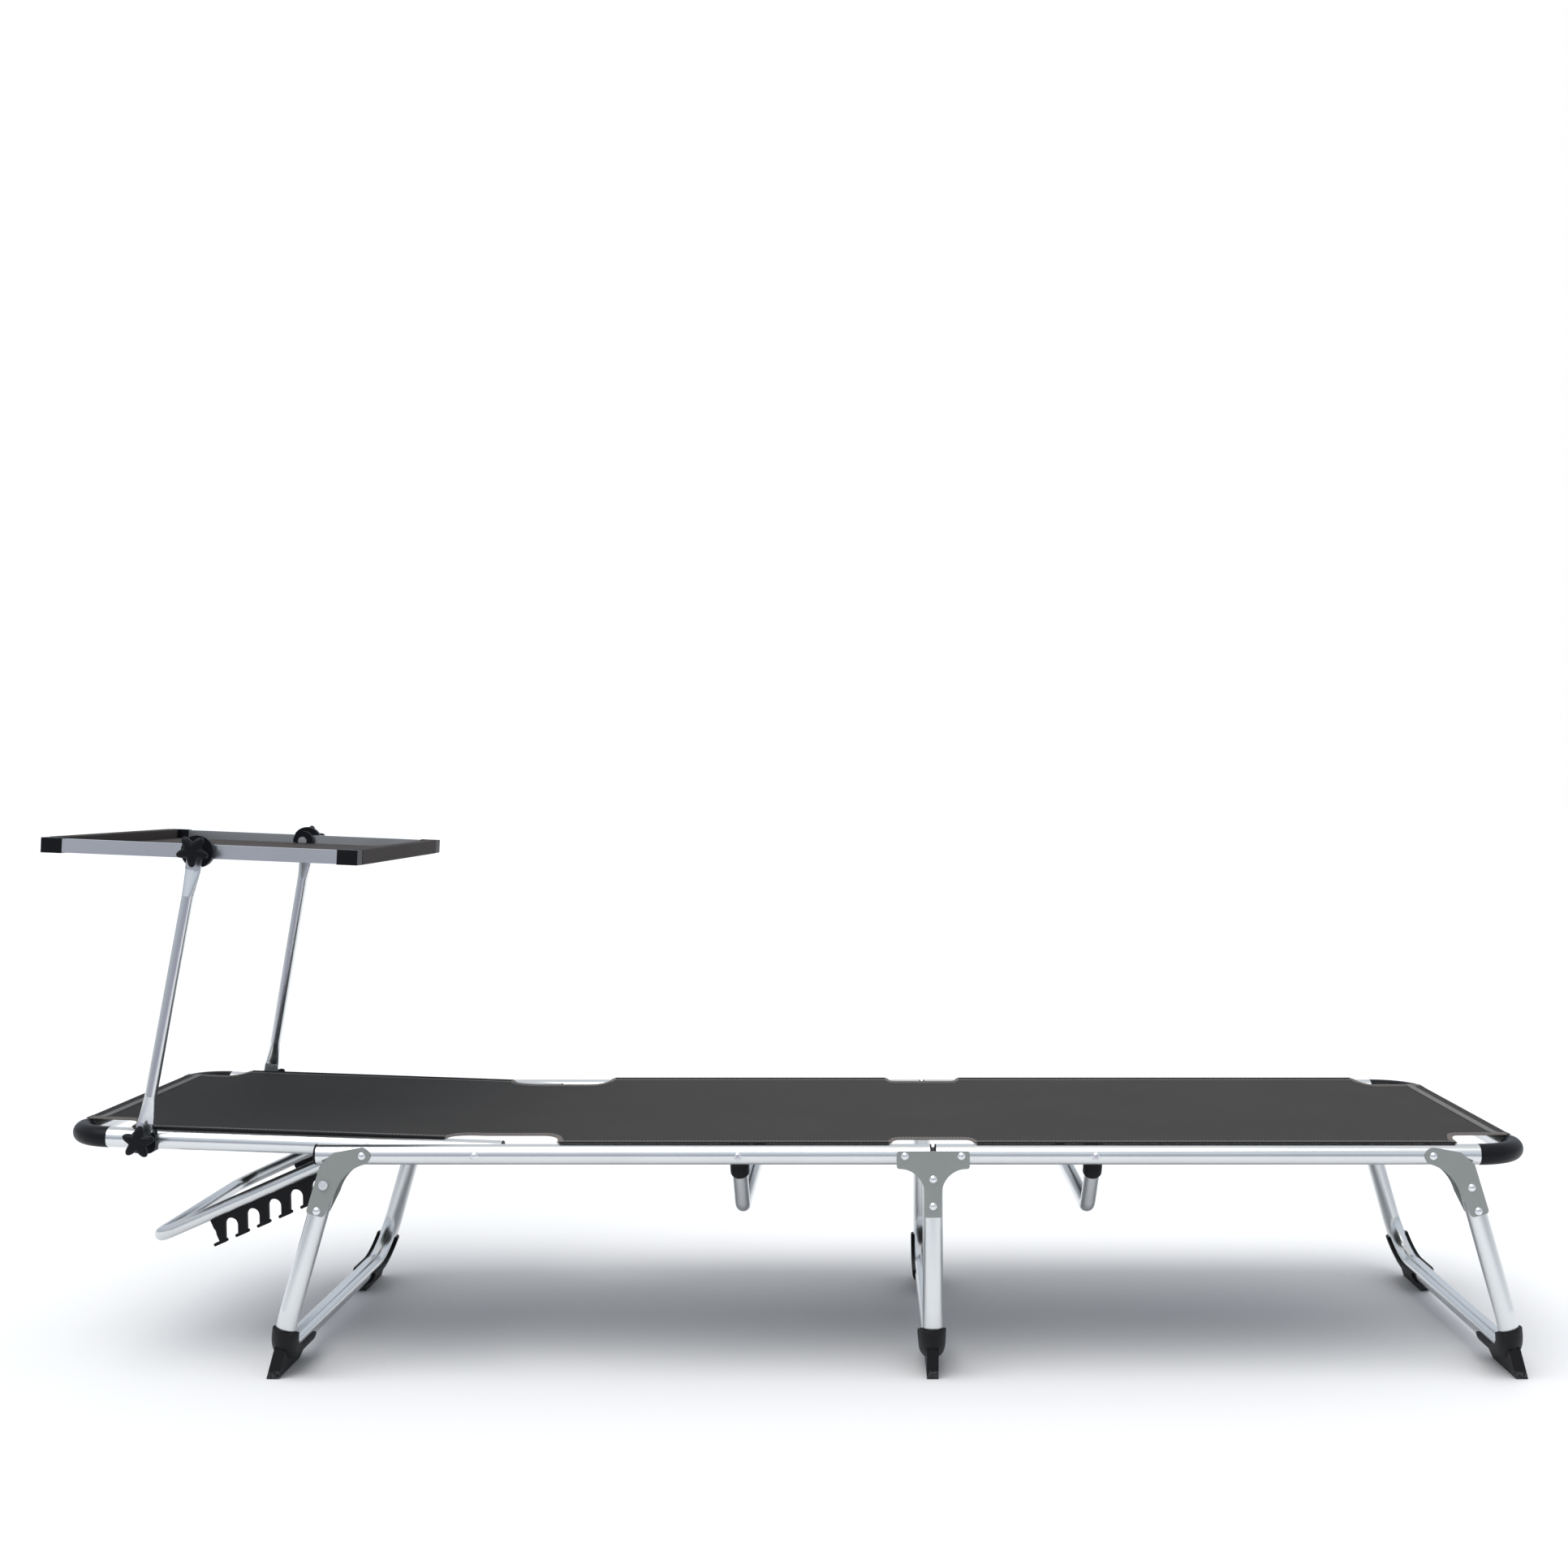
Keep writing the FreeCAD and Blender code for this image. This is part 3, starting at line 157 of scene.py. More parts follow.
class Shading:
    """A tree of shader nodes, with one way to add a node to it."""

    def __init__(self, tree):
        self.tree = tree

    def node(self, kind, settings=None, inputs=(), output=0):
        """Add a node, set its settings, then fill its sockets with values or wires."""
        made = self.tree.nodes.new(kind)
        for key, value in (settings or {}).items():
            if key == "stops":
                ramp = made.color_ramp.elements
                while len(ramp) < len(value):
                    ramp.new(1.0)
                for element, (place, colour) in zip(ramp, value):
                    element.position, element.color = place, colour
            else:
                setattr(made, key, value)
        for key, value in inputs.items() if isinstance(inputs, dict) else enumerate(inputs):
            self.feed(made.inputs[key], value)
        return Wire(self, made.outputs[output])

    def feed(self, socket, value):
        if isinstance(value, Wire):
            self.tree.links.new(value.socket, socket)
        else:
            socket.default_value = value

    def mixed(self, amount, first, second):
        """Two colours mixed by an amount."""
        return self.node("ShaderNodeMix", {"data_type": "RGBA"},
                         {0: amount, 6: first, 7: second}, output=2)


class Finish(Shading):
    """One material, with constants set on its shader's own sockets."""

    def __init__(self, name, **constants):
        self.material = bpy.data.materials.new(name)
        self.material.use_nodes = True
        super().__init__(self.material.node_tree)
        self.shader = self.tree.nodes["Principled BSDF"]
        for socket, value in constants.items():
            self.shader.inputs[socket.replace("_", " ")].default_value = value

    def place(self, scale=(1, 1, 1), turn=(0, 0, 0)):
        """Object coordinates, turned first and then stretched by scale."""
        where = self.node("ShaderNodeTexCoord", output="Object")
        if any(turn):
            where = self.node("ShaderNodeVectorRotate", {"rotation_type": "EULER_XYZ"},
                              {"Vector": where, "Rotation": turn})
        return self.node("ShaderNodeMapping", {}, {"Vector": where, "Scale": scale})

    def noise(self, where, scale=1.0, detail=3.0, roughness=0.55):
        return self.node("ShaderNodeTexNoise", {}, {
            "Vector": where, "Scale": scale, "Detail": detail, "Roughness": roughness})

    def finish(self, colour, roughness, height=None, strength=0.2, distance=0.0002):
        """Wire up the shader, with height as its bump, and hand over the material."""
        self.feed(self.shader.inputs["Base Color"], colour)
        self.feed(self.shader.inputs["Roughness"], roughness)
        if height is not None:
            bump = self.node("ShaderNodeBump", {}, {
                "Strength": strength, "Distance": distance, "Height": height})
            self.feed(self.shader.inputs["Normal"], bump)
        return self.material


def tint(red, green, blue):
    return (red, green, blue, 1.0)


print("shader helpers ready")

# %% [markdown]
# ## Metal
# The tubes are extruded aluminium, anodised to a satin silver. Drawing leaves lines along each
# tube, finer than a hair. Geometry would be wasted on them, so they are a noise pattern, which
# is stretched 180 times along the tube's own direction. The legs lean, so their pattern is
# turned first, and below the bend it changes over to lines across. The plates are zinc-grey
# steel with a fine orange-peel grain.

# %% Finishes for the metal
ALONG = 5.0                   # scale of the drawing lines along a tube
ACROSS = 900.0                # and across it
LEG_LEAN = math.radians(15.9)
PROP_LEAN = math.radians(24.2)
ARM_LEAN = math.radians(9.9)
LEG_BEND_Z = 0.062            # below this height a leg tube runs across


def drawn_aluminium(name, scale, turn=(0, 0, 0), bent=False, shade=1.0):
    """Satin anodised tube with drawing lines; bent tubes change direction near the ground."""
    paint = Finish(name, Metallic=1.0)
    lines = paint.noise(paint.place(scale, turn), detail=4.0)
    if bent:
        height = paint.node("ShaderNodeSeparateXYZ", {}, [paint.place()], output="Z")
        crosswise = paint.noise(paint.place((ACROSS, ALONG, ACROSS)), detail=4.0)
        low = height < LEG_BEND_Z
        lines = lines * (1 - low) + crosswise * low
    cloud = paint.noise(paint.place(), 9.0)
    colour = paint.mixed(cloud, tint(0.64 * shade, 0.66 * shade, 0.67 * shade),
                         tint(0.74 * shade, 0.76 * shade, 0.77 * shade))
    return paint.finish(colour, 0.17 + lines * 0.10 + cloud * 0.05, lines, 0.10, 0.00005)


rail_finish = drawn_aluminium("rail_aluminium", (ALONG, ACROSS, ACROSS))
end_finish = drawn_aluminium("end_tube_aluminium", (ACROSS, ALONG, ACROSS))
head_leg_finish = drawn_aluminium("head_leg_aluminium", (ACROSS, ACROSS, ALONG),
                                  (0, -LEG_LEAN, 0), bent=True)
middle_leg_finish = drawn_aluminium("middle_leg_aluminium", (ACROSS, ACROSS, ALONG), bent=True)
foot_leg_finish = drawn_aluminium("foot_leg_aluminium", (ACROSS, ACROSS, ALONG),
                                  (0, LEG_LEAN, 0), bent=True)
prop_finish = drawn_aluminium("prop_aluminium", (ALONG, ACROSS, ACROSS),
                              (0, PROP_LEAN, 0), shade=0.9)
arm_finish = drawn_aluminium("shade_arm_aluminium", (ACROSS, ACROSS, ALONG),
                             (0, -ARM_LEAN, 0))
canopy_rail_finish = drawn_aluminium("canopy_rail_aluminium", (ALONG, ACROSS, ACROSS))

paint = Finish("zinc_grey_plate", Metallic=0.35)
grain = paint.noise(paint.place(), 900.0, detail=2.0)
cloud = paint.noise(paint.place(), 14.0)
plate_finish = paint.finish(
    paint.mixed(cloud, tint(0.235, 0.250, 0.240), tint(0.275, 0.292, 0.280)),
    0.50 + grain * 0.12, grain, 0.25, 0.0001)

paint = Finish("zinc_plated_steel", Metallic=1.0)
cloud = paint.noise(paint.place(), 260.0)
steel_finish = paint.finish(
    paint.mixed(cloud, tint(0.66, 0.68, 0.70), tint(0.84, 0.85, 0.86)),
    0.16 + cloud * 0.14, cloud, 0.12, 0.0001)
print("metal finishes ready")

# %% [markdown]
# ## Plastic
# Elbows, plugs and clamps are moulded nylon, almost black. A moulded skin is not smooth: the
# tool was spark-eroded, which leaves a fine grain. One function makes them all, because they
# differ only in shade and gloss. The feet have been stood on the ground, so they turn paler and
# rougher just above it.

# %% Finishes for the plastic
SCUFF_HEIGHT = 0.010          # how far up a foot is scuffed


def moulded(name, dark, light, rough, grain_size=1400.0, scuffed=False):
    """Grained black plastic; scuffed pieces are paler close to the ground."""
    paint = Finish(name, IOR=1.46, Specular_IOR_Level=0.14)
    grain = paint.noise(paint.place(), grain_size, detail=2.0)
    cloud = paint.noise(paint.place(), 30.0)
    colour = paint.mixed(cloud, dark, light)
    roughness = rough + grain * 0.10 + cloud * 0.06
    if scuffed:
        height = paint.node("ShaderNodeSeparateXYZ", {}, [paint.place()], output="Z")
        rub = (height < SCUFF_HEIGHT) * (paint.noise(paint.place(), 420.0) > 0.5)
        colour = paint.mixed(rub * 0.5, colour, tint(0.10, 0.10, 0.10))
        roughness = roughness + rub * 0.2
    return paint.finish(colour, roughness, grain, 0.22, 0.00012)


elbow_finish = moulded("elbow_nylon", tint(0.0045, 0.005, 0.006), tint(0.008, 0.009, 0.011), 0.30)
plug_finish = moulded("plug_nylon", tint(0.0045, 0.0045, 0.006), tint(0.008, 0.008, 0.010), 0.38)
foot_finish = moulded("foot_nylon", tint(0.006, 0.006, 0.007), tint(0.011, 0.011, 0.012),
                      0.42, 1000.0, scuffed=True)
knob_finish = moulded("knob_nylon", tint(0.0045, 0.005, 0.006), tint(0.008, 0.009, 0.011), 0.33)
print("plastic finishes ready")

# %% [markdown]
# ## Dressing the CAD nodes
# The CAD shapes are right as they are, so nothing is modelled again here. A finish goes into
# each node's material slot, and the mesh itself is left alone.

# %% Assign the finishes
DRESSED = {
    "base_rail_left base_rail_right foot_rail_left foot_rail_right": rail_finish,
    "backrest_rail_left backrest_rail_right": rail_finish,
    "head_end_tube foot_end_tube base_cross_bar foot_cross_bar": end_finish,
    "head_leg_tube": head_leg_finish,
    "middle_leg_tube": middle_leg_finish,
    "foot_leg_tube": foot_leg_finish,
    "prop_bar": prop_finish,
    "shade_arm_left shade_arm_right": arm_finish,
    "canopy_side_rails canopy_end_rails": canopy_rail_finish,
    "head_leg_plates middle_leg_plates foot_leg_plates": plate_finish,
    "base_cross_bar_bolts foot_cross_bar_bolts base_pivot_rivets foot_pivot_rivets": steel_finish,
    "head_leg_rivets middle_leg_rivets foot_leg_rivets prop_hinge_rivets": steel_finish,
    "catch_rod shade_clamp_bolts canopy_bolts": steel_finish,
    "head_corners foot_corners canopy_corners": elbow_finish,
    "base_rail_plugs foot_rail_plugs backrest_rail_plugs head_leg_plugs": plug_finish,
    "middle_leg_plugs foot_leg_plugs base_cross_bar_cups foot_cross_bar_cups": plug_finish,
    "backrest_pivot_washers prop_hinge_spacers prop_notch_plates": plug_finish,
    "shade_clamps canopy_pivot_blocks": elbow_finish,
    "head_feet middle_feet foot_feet": foot_finish,
    "lower_knob_left lower_knob_right upper_knob_left upper_knob_right": knob_finish,
}
for names, finish in DRESSED.items():
    for name in names.split():
        mesh = nodes[name].data
        if len(mesh.materials) == 0:
            mesh.materials.append(finish)
        for slot in nodes[name].material_slots:
            slot.material = finish
soft_nodes = sorted(set(nodes) - {n for names in DRESSED for n in names.split()})
print("left for the soft goods:", soft_nodes)

# %% [markdown]
# ## Cloth
# The sling is an open mesh woven from coated yarn. Each crossing of two yarns is a small
# bump, and every yarn has a slightly different grey, so the cloth looks salted from afar.
# Yarns modelled one by one would take millions of faces, so the weave is worked out in the
# material. It reads the piece's own UV map, which is drawn in metres, so it bends with the cloth
# when the backrest is raised.

# %% Finishes for the cloth
STITCH = 0.0045               # from one stitch to the next
STITCH_SHARE = 0.7            # how much of that the thread covers
STITCH_HALF = 0.0009          # half the width of a row of stitches


def even(paint, along):
    """The same shade all over."""
    return 1.0


def painted_canopy_shade(paint, along):
    """Painted shade: darker towards the head end, in place of the sunshade's shadow, and paler
    towards the foot end.
    """
    return paint.node("ShaderNodeMapRange", {"interpolation_type": "SMOOTHSTEP"}, {
        "Value": along, "From Min": 0.2, "From Max": 1.1, "To Min": 0.45, "To Max": 1.0})


def woven(name, pitch, dark, light, thread=None, stitch_rows=(), painted_shade_along=even):
    """Plain weave in UV metres, with rows of stitches at distances from the side edges."""
    paint = Finish(name, IOR=1.45, Specular_IOR_Level=0.12)
    cloth = paint.node("ShaderNodeUVMap", {"uv_map": "cloth"})
    along = paint.node("ShaderNodeSeparateXYZ", {}, [cloth], output="X")
    across = paint.node("ShaderNodeSeparateXYZ", {}, [cloth], output="Y")
    turns_along = along / pitch
    turns_across = across / pitch
    warp = abs((turns_along * math.pi).sine())
    weft = abs((turns_across * math.pi).sine())
    parity = ((turns_along.floor() + turns_across.floor()) * 0.5).fraction() > 0.25
    height = warp * parity + weft * (1 - parity)
    cell = paint.node("ShaderNodeCombineXYZ", {}, [turns_along.floor(), turns_across.floor(), 0.0])
    yarn = paint.node("ShaderNodeTexWhiteNoise", {"noise_dimensions": "2D"}, {"Vector": cell})
    cloud = paint.noise(cloth, 7.0)
    # painted shade: the weave is darkened towards the head end, standing in for the sunshade's
    # shadow
    shade = (yarn * 0.45 + height * 0.35 + cloud * 0.25) * painted_shade_along(paint, along)
    colour = paint.mixed(shade, dark, light)
    roughness = 0.62 + yarn * 0.12
    if stitch_rows:
        edge = paint.node("ShaderNodeAttribute", {"attribute_name": "edge"}, output="Fac")
        dash = (along / STITCH).fraction() < STITCH_SHARE
        for distance in stitch_rows:
            row = (abs(edge - distance) < STITCH_HALF) * dash
            colour = paint.mixed(row, colour, thread)
            height = height + row * 1.6
    return paint.finish(colour, roughness, height, 0.55, 0.0004)


# the sling's colour carries painted shade, darker towards the head end
sling_finish = woven("sling_mesh", 0.0014, tint(0.0150, 0.0150, 0.0148),
                     tint(0.0580, 0.0535, 0.0490), tint(0.26, 0.26, 0.25),
                     stitch_rows=(0.0110, 0.0130), painted_shade_along=painted_canopy_shade)
canopy_cloth_finish = woven("canopy_mesh", 0.0012, tint(0.027, 0.0235, 0.0225),
                            tint(0.078, 0.067, 0.064))
# painted sheen: the tape's pale grey is partly its own colour and partly stands in for the sheen on
# it
tape_with_painted_sheen = woven("hem_tape", 0.0011, tint(0.11, 0.11, 0.105), tint(0.21, 0.205, 0.20))
binding_finish = woven("edge_binding", 0.0011, tint(0.10, 0.088, 0.080),
                       tint(0.20, 0.175, 0.16))
piping_finish = moulded("keder_piping", tint(0.006, 0.006, 0.007), tint(0.012, 0.012, 0.013),
                        0.40, 2000.0)
print("cloth finishes ready")

# %% [markdown]
# ## The sling
# The real sling is one sheet from the head tube to the foot tube. It hangs between the side
# rails with a slight sag, rides over their crowns, and is cut away where the frame folds and
# at the elbows. A grid is the natural start: its rows run across, and each row is scaled to
# the sling's own half width there. The columns stand closer together towards the edges,
# where the cloth curves over the rails.

# %% The sling's outline
WIDE = BASE_Y + 0.0005        # half width: the edges lie on the crowns of the base rails
NARROW = BACK_Y + 0.0005      # and of the backrest rails
HEAD_END = HEAD_X - 0.001     # the sheet ends on the crowns of the end tubes
FOOT_END = FOOT_X + 0.001
HEAD_HALF = BACK_Y - 0.050    # half widths at the two ends, between the elbows
FOOT_HALF = BASE_Y - 0.062
WAIST_HALF = BASE_Y - 0.059   # in the cut-outs beside the backrest's pivots
WAIST = (PIVOT_X - 0.046, PIVOT_X + 0.107)
WAIST_ROUNDS = (0.036, 0.030)  # radii of these cut-outs' corners, at the head and foot side
MIDDLE_HALF = BASE_Y - 0.028  # in the cut-outs above the middle legs
MIDDLE = (MIDDLE_X - 0.056, MIDDLE_X + 0.056)
MIDDLE_ROUND = 0.014
HEAD_CUT = HEAD_END + 0.081   # the cut-outs at the elbows end here
FOOT_CUT = FOOT_END - 0.091   # and begin here at the foot end
END_ROUND = 0.022
BEYOND = 1.0                  # a cut-out that is open at the sheet's end closes this far off it
SAG = 0.0012                  # at the middle of the sling
SAG_FADE = 0.12               # the sag dies away over this length before the end tubes
WELT_WIDTH = 0.020            # along the sides the cloth is doubled
WELT_LIFT = 0.0005


def hollow(x, start, end, first_round, last_round):
    """1 inside a side cut-out, 0 outside, with quarter-round ends."""
    if x <= start or x >= end:
        return 0.0
    if x < start + first_round:
        t = (start + first_round - x) / first_round
    elif x > end - last_round:
        t = (x - end + last_round) / last_round
    else:
        return 1.0
    return math.sqrt(max(0.0, 1 - t * t))


def half_width(x):
    """Half the sling's width at a place along the lounger."""
    full = NARROW if x < PIVOT_X else WIDE
    half = full - (full - WAIST_HALF) * hollow(x, *WAIST, *WAIST_ROUNDS)
    half -= (WIDE - MIDDLE_HALF) * hollow(x, *MIDDLE, MIDDLE_ROUND, MIDDLE_ROUND)
    half -= (NARROW - HEAD_HALF) * hollow(x, HEAD_END - BEYOND, HEAD_CUT, END_ROUND, END_ROUND)
    half -= (WIDE - FOOT_HALF) * hollow(x, FOOT_CUT, FOOT_END + BEYOND, END_ROUND, END_ROUND)
    return half


def rail_line(x):
    """Centre line of the rail that carries the sling there: its distance and its height."""
    if x >= PIVOT_X:
        return BASE_Y, RAIL_Z
    return BACK_Y, RAIL_Z + (PIVOT_X - x) * BACK_SLOPE


def crown_drop(beyond):
    """How far the cloth has dropped this far beyond the top line of a tube."""
    reach = RAIL_RADIUS + CLOTH_LIFT
    return reach - math.sqrt(max(reach * reach - beyond * beyond, 0.0))


def sling_height(x, y):
    """Height of the middle of the cloth: sagging between the rails, curved over their crowns."""
    rail_y, rail_z = rail_line(x)
    over = max(abs(y) - rail_y, 0.0)
    inside = min(abs(y) / BASE_Y, 1.0)
    end_over = max(HEAD_X - x, x - FOOT_X, 0.0)
    from_end = min(x - HEAD_X, FOOT_X - x)
    ends = min(max(from_end, 0.0) / SAG_FADE, 1.0)
    sag = SAG * (1 - inside * inside) * ends * (2 - ends)
    welt = WELT_LIFT if half_width(x) - abs(y) < WELT_WIDTH else 0.0
    return (rail_z + RAIL_RADIUS + CLOTH_LIFT - sag + welt
            - crown_drop(over) - crown_drop(end_over))


print("half widths", [round(half_width(x / 10), 3) for x in range(-9, 10, 2)])

# %% [markdown]
# ### From a grid to a sheet
# The grid operator makes a flat square. The sling is taut, so a simulation would find nothing
# to do: the functions above place the grid's vertices. The UV map is written in metres, and each
# vertex keeps its distance from the side edge, which the stitch rows read. Solidify gives the
# cloth its thickness.

# %% Make a sheet from a grid
CLOTH = 0.0011                # thickness of the sling's cloth
ROW_STEP = 0.004              # from one row of the grid to the next
COLUMNS = 56
CROWDING = 1.5                # how much closer together the columns stand at the edges
UV_AHEAD = 1.0                # these two keep the UV map's numbers positive
UV_ASIDE = 0.5


def deselect_all():
    bpy.ops.object.select_all(action="DESELECT")


def apply_modifiers(piece):
    bpy.context.view_layer.objects.active = piece
    for modifier in list(piece.modifiers):
        bpy.ops.object.modifier_apply(modifier=modifier.name)


def smooth(piece, degrees=40):
    """Shade the piece smooth, apart from edges sharper than this angle."""
    deselect_all()
    piece.select_set(True)
    bpy.context.view_layer.objects.active = piece
    bpy.ops.object.shade_smooth_by_angle(angle=math.radians(degrees))


def draw_cloth_map(mesh, cloth_place_of):
    """Write the UV map in metres, from each vertex's place on the flat cloth."""
    uv = mesh.uv_layers[0] if mesh.uv_layers else mesh.uv_layers.new()
    uv.name = "cloth"
    for loop in mesh.loops:
        uv.data[loop.index].uv = cloth_place_of(loop.vertex_index)


def grid_piece(name, rows, columns, place, cloth_place, edge_of=None, thickness=CLOTH):
    """A sheet: place(u, v) is a point of it, cloth_place(u, v) its place on the flat cloth."""
    deselect_all()
    bpy.ops.mesh.primitive_grid_add(x_subdivisions=rows, y_subdivisions=columns, size=2)
    piece = bpy.context.object
    piece.name = name
    mesh = piece.data
    flat = [(vertex.co.x * 0.5 + 0.5, vertex.co.y) for vertex in mesh.vertices]
    draw_cloth_map(mesh, lambda index: cloth_place(*flat[index]))
    if edge_of is not None:
        edge = mesh.attributes.new("edge", "FLOAT", "POINT")
        edge.data.foreach_set("value", [edge_of(*uv_place) for uv_place in flat])
    for vertex, (u, v) in zip(mesh.vertices, flat):
        vertex.co = place(u, v)
    solid = piece.modifiers.new("thickness", "SOLIDIFY")
    solid.thickness = thickness
    solid.offset = 0.0
    apply_modifiers(piece)
    smooth(piece)
    return piece


def spread(v):
    """Columns closer together towards the edges."""
    return math.copysign(1 - (1 - abs(v)) ** CROWDING, v)


def sling_sheet(name, start, end):
    """The stretch of the sling from start to end."""
    def place(u, v):
        x = start + (end - start) * u
        y = half_width(x) * spread(v)
        return x, y, sling_height(x, y)

    def cloth_place(u, v):
        x = start + (end - start) * u
        return x + UV_AHEAD, half_width(x) * spread(v) + UV_ASIDE

    def edge_of(u, v):
        x = start + (end - start) * u
        return half_width(x) * (1 - abs(spread(v)))

    rows = round((end - start) / ROW_STEP)
    piece = grid_piece(name, rows, COLUMNS, place, cloth_place, edge_of)
    piece.data.materials.append(sling_finish)
    return piece


# %% [markdown]
# ### Three stretches
# The sling crosses three hinges of the frame, and a piece can bend smoothly over one of them
# only. One long mesh would be simpler, but it could not follow. So the same function makes three
# stretches, divided between the hinges, and their shared edges are rows of the same points.

# %% Three stretches of one sling
SPLIT_HEAD = WAIST[1] + 0.06  # the first stretch ends here, on the seat
head_sling = sling_sheet("sling_head_stretch", HEAD_END, SPLIT_HEAD)
seat_sling = sling_sheet("sling_seat_stretch", SPLIT_HEAD, MIDDLE_X)
foot_sling = sling_sheet("sling_foot_stretch", MIDDLE_X, FOOT_END)
for piece in (head_sling, seat_sling, foot_sling):
    print(piece.name, len(piece.data.polygons), "faces")

# %% [markdown]
# ### Bindings and piping
# Where the sling is cut away its edge is bound with a folded tape, and where it is held by a
# rail a round cord is sewn into the edge, which slides into the rail's groove. Strips of faces
# could be extruded along the edge, but both kinds follow the outline at one section all the
# way, so a curve with a bevel does it, along points taken from the outline.

# %% Sweep a band or a cord along the sling's edge
def swept(name, lines, radius, flatten, finish):
    """Round tubes along lines of points, flattened in height about their own middle."""
    pieces = []
    for points in lines:
        curve = bpy.data.curves.new(name, "CURVE")
        curve.dimensions = "3D"
        spline = curve.splines.new("POLY")
        spline.points.add(len(points) - 1)
        for target, point in zip(spline.points, points):
            target.co = (*point, 1.0)
        curve.bevel_depth = radius
        curve.bevel_resolution = 3
        curve.use_fill_caps = True
        holder = bpy.data.objects.new(name, curve)
        bpy.context.scene.collection.objects.link(holder)
        deselect_all()
        holder.select_set(True)
        bpy.context.view_layer.objects.active = holder
        bpy.ops.object.convert(target="MESH")
        mesh = bpy.context.object.data
        for vertex in mesh.vertices:
            nearest = min(points, key=lambda p: (p[0] - vertex.co.x) ** 2
                          + (p[1] - vertex.co.y) ** 2)
            vertex.co.z = nearest[2] + (vertex.co.z - nearest[2]) * flatten
        places = [(v.co.x + UV_AHEAD, v.co.y + UV_ASIDE) for v in mesh.vertices]
        draw_cloth_map(mesh, lambda index: places[index])
        pieces.append(bpy.context.object)
    deselect_all()
    for piece in pieces:
        piece.select_set(True)
    bpy.context.view_layer.objects.active = pieces[0]
    if len(pieces) > 1:
        bpy.ops.object.join()
    whole = bpy.context.object
    whole.name = name
    whole.data.materials.clear()
    whole.data.materials.append(finish)
    smooth(whole)
    return whole


def edge_line(start, end, side, inset=0.0, lift=0.0, step=0.003):
    """Points along one side edge of the sling."""
    count = max(2, round((end - start) / step))
    points = []
    for n in range(count + 1):
        x = start + (end - start) * n / count
        y = side * (half_width(x) - inset)
        points.append((x, y, sling_height(x, y) + lift))
    return points


def both_sides(*spans, **offsets):
    """The same stretches of edge on the right and on the left."""
    return [edge_line(start, end, side, **offsets) for start, end in spans for side in (-1, 1)]


BINDING = 0.0036              # half the width of the folded tape
BINDING_FLAT = 0.36           # its thickness as a share of its width
BINDING_INSET = 0.0025        # from the cloth's edge in to the tape's middle
END_CLEAR = 0.004             # a binding stops this far before the sheet's end
PIPING = 0.0013               # radius of the cord
PIPING_OUT = 0.0010           # its axis lies this far outside the cloth's edge
PIPING_LIFT = 0.0005


def bound(name, *spans):
    """A folded tape along both side edges."""
    return swept(name, both_sides(*spans, inset=BINDING_INSET), BINDING, BINDING_FLAT,
                 binding_finish)


def piped(name, *spans):
    """A round cord along both side edges."""
    return swept(name, both_sides(*spans, inset=-PIPING_OUT, lift=PIPING_LIFT), PIPING, 1.0,
                 piping_finish)


head_binding = bound("sling_head_binding", (HEAD_END + END_CLEAR, HEAD_CUT), WAIST)
seat_binding = bound("sling_seat_binding", (MIDDLE[0], MIDDLE_X))
foot_binding = bound("sling_foot_binding", (MIDDLE_X, MIDDLE[1]),
                     (FOOT_CUT, FOOT_END - END_CLEAR))
head_piping = piped("sling_head_piping", (HEAD_CUT, WAIST[0]), (WAIST[1], SPLIT_HEAD))
seat_piping = piped("sling_seat_piping", (SPLIT_HEAD, MIDDLE[0]))
foot_piping = piped("sling_foot_piping", (MIDDLE[1], FOOT_CUT))
print("bindings and piping done")

# %% [markdown]
# ### Hem tapes
# At each end the sling is turned round its tube and closed with a sewn tape, which shows as
# a pale stripe across. Its pale grey is partly the tape's own colour and partly painted sheen.
# A stripe in the material would do from afar, but the tape stands proud of the cloth, so it is
# a narrow sheet of its own on top of it.

# %% The two hem tapes
TAPE_WIDTH = 0.0095
TAPE_FROM_AXIS = 0.0125       # from the end tube's axis to the tape
TAPE_INSET = 0.003            # from the cloth's side edges
TAPE_LIFT = 0.0010            # above the cloth
TAPE_CROWN = 0.0004
TAPE_THICK = 0.0009
TAPE_ROWS = 8
TAPE_COLUMNS = 90


def hem_tape(name, start):
    """A tape across the sling, slightly crowned between its two edges."""
    end = start + TAPE_WIDTH

    def place(u, v):
        x = start + (end - start) * u
        y = (half_width(x) - TAPE_INSET) * v
        crown = TAPE_CROWN * math.sin(math.pi * u)
        return x, y, sling_height(x, y) + TAPE_LIFT + crown

    def cloth_place(u, v):
        return start + (end - start) * u + UV_AHEAD, half_width(start) * v + UV_ASIDE

    piece = grid_piece(name, TAPE_ROWS, TAPE_COLUMNS, place, cloth_place, thickness=TAPE_THICK)
    piece.data.materials.append(tape_with_painted_sheen)
    return piece


head_tape = hem_tape("head_hem_tape", HEAD_X + TAPE_FROM_AXIS)
foot_tape = hem_tape("foot_hem_tape", FOOT_X - TAPE_FROM_AXIS - TAPE_WIDTH)
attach(head_tape, "backrest")
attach(foot_tape, "foot_frame")
print("hem tapes done")

# %% [markdown]
# ### The sling's pieces at the hinges
# Each stretch crosses one hinge of the frame. A cut there would open when the backrest is
# raised. Here the pieces, with their bindings and piping, only have their transforms baked into
# their meshes.


def bend_over(pieces):
    """Bake each piece's transform into its mesh."""
    for piece in pieces:
        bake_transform(piece)


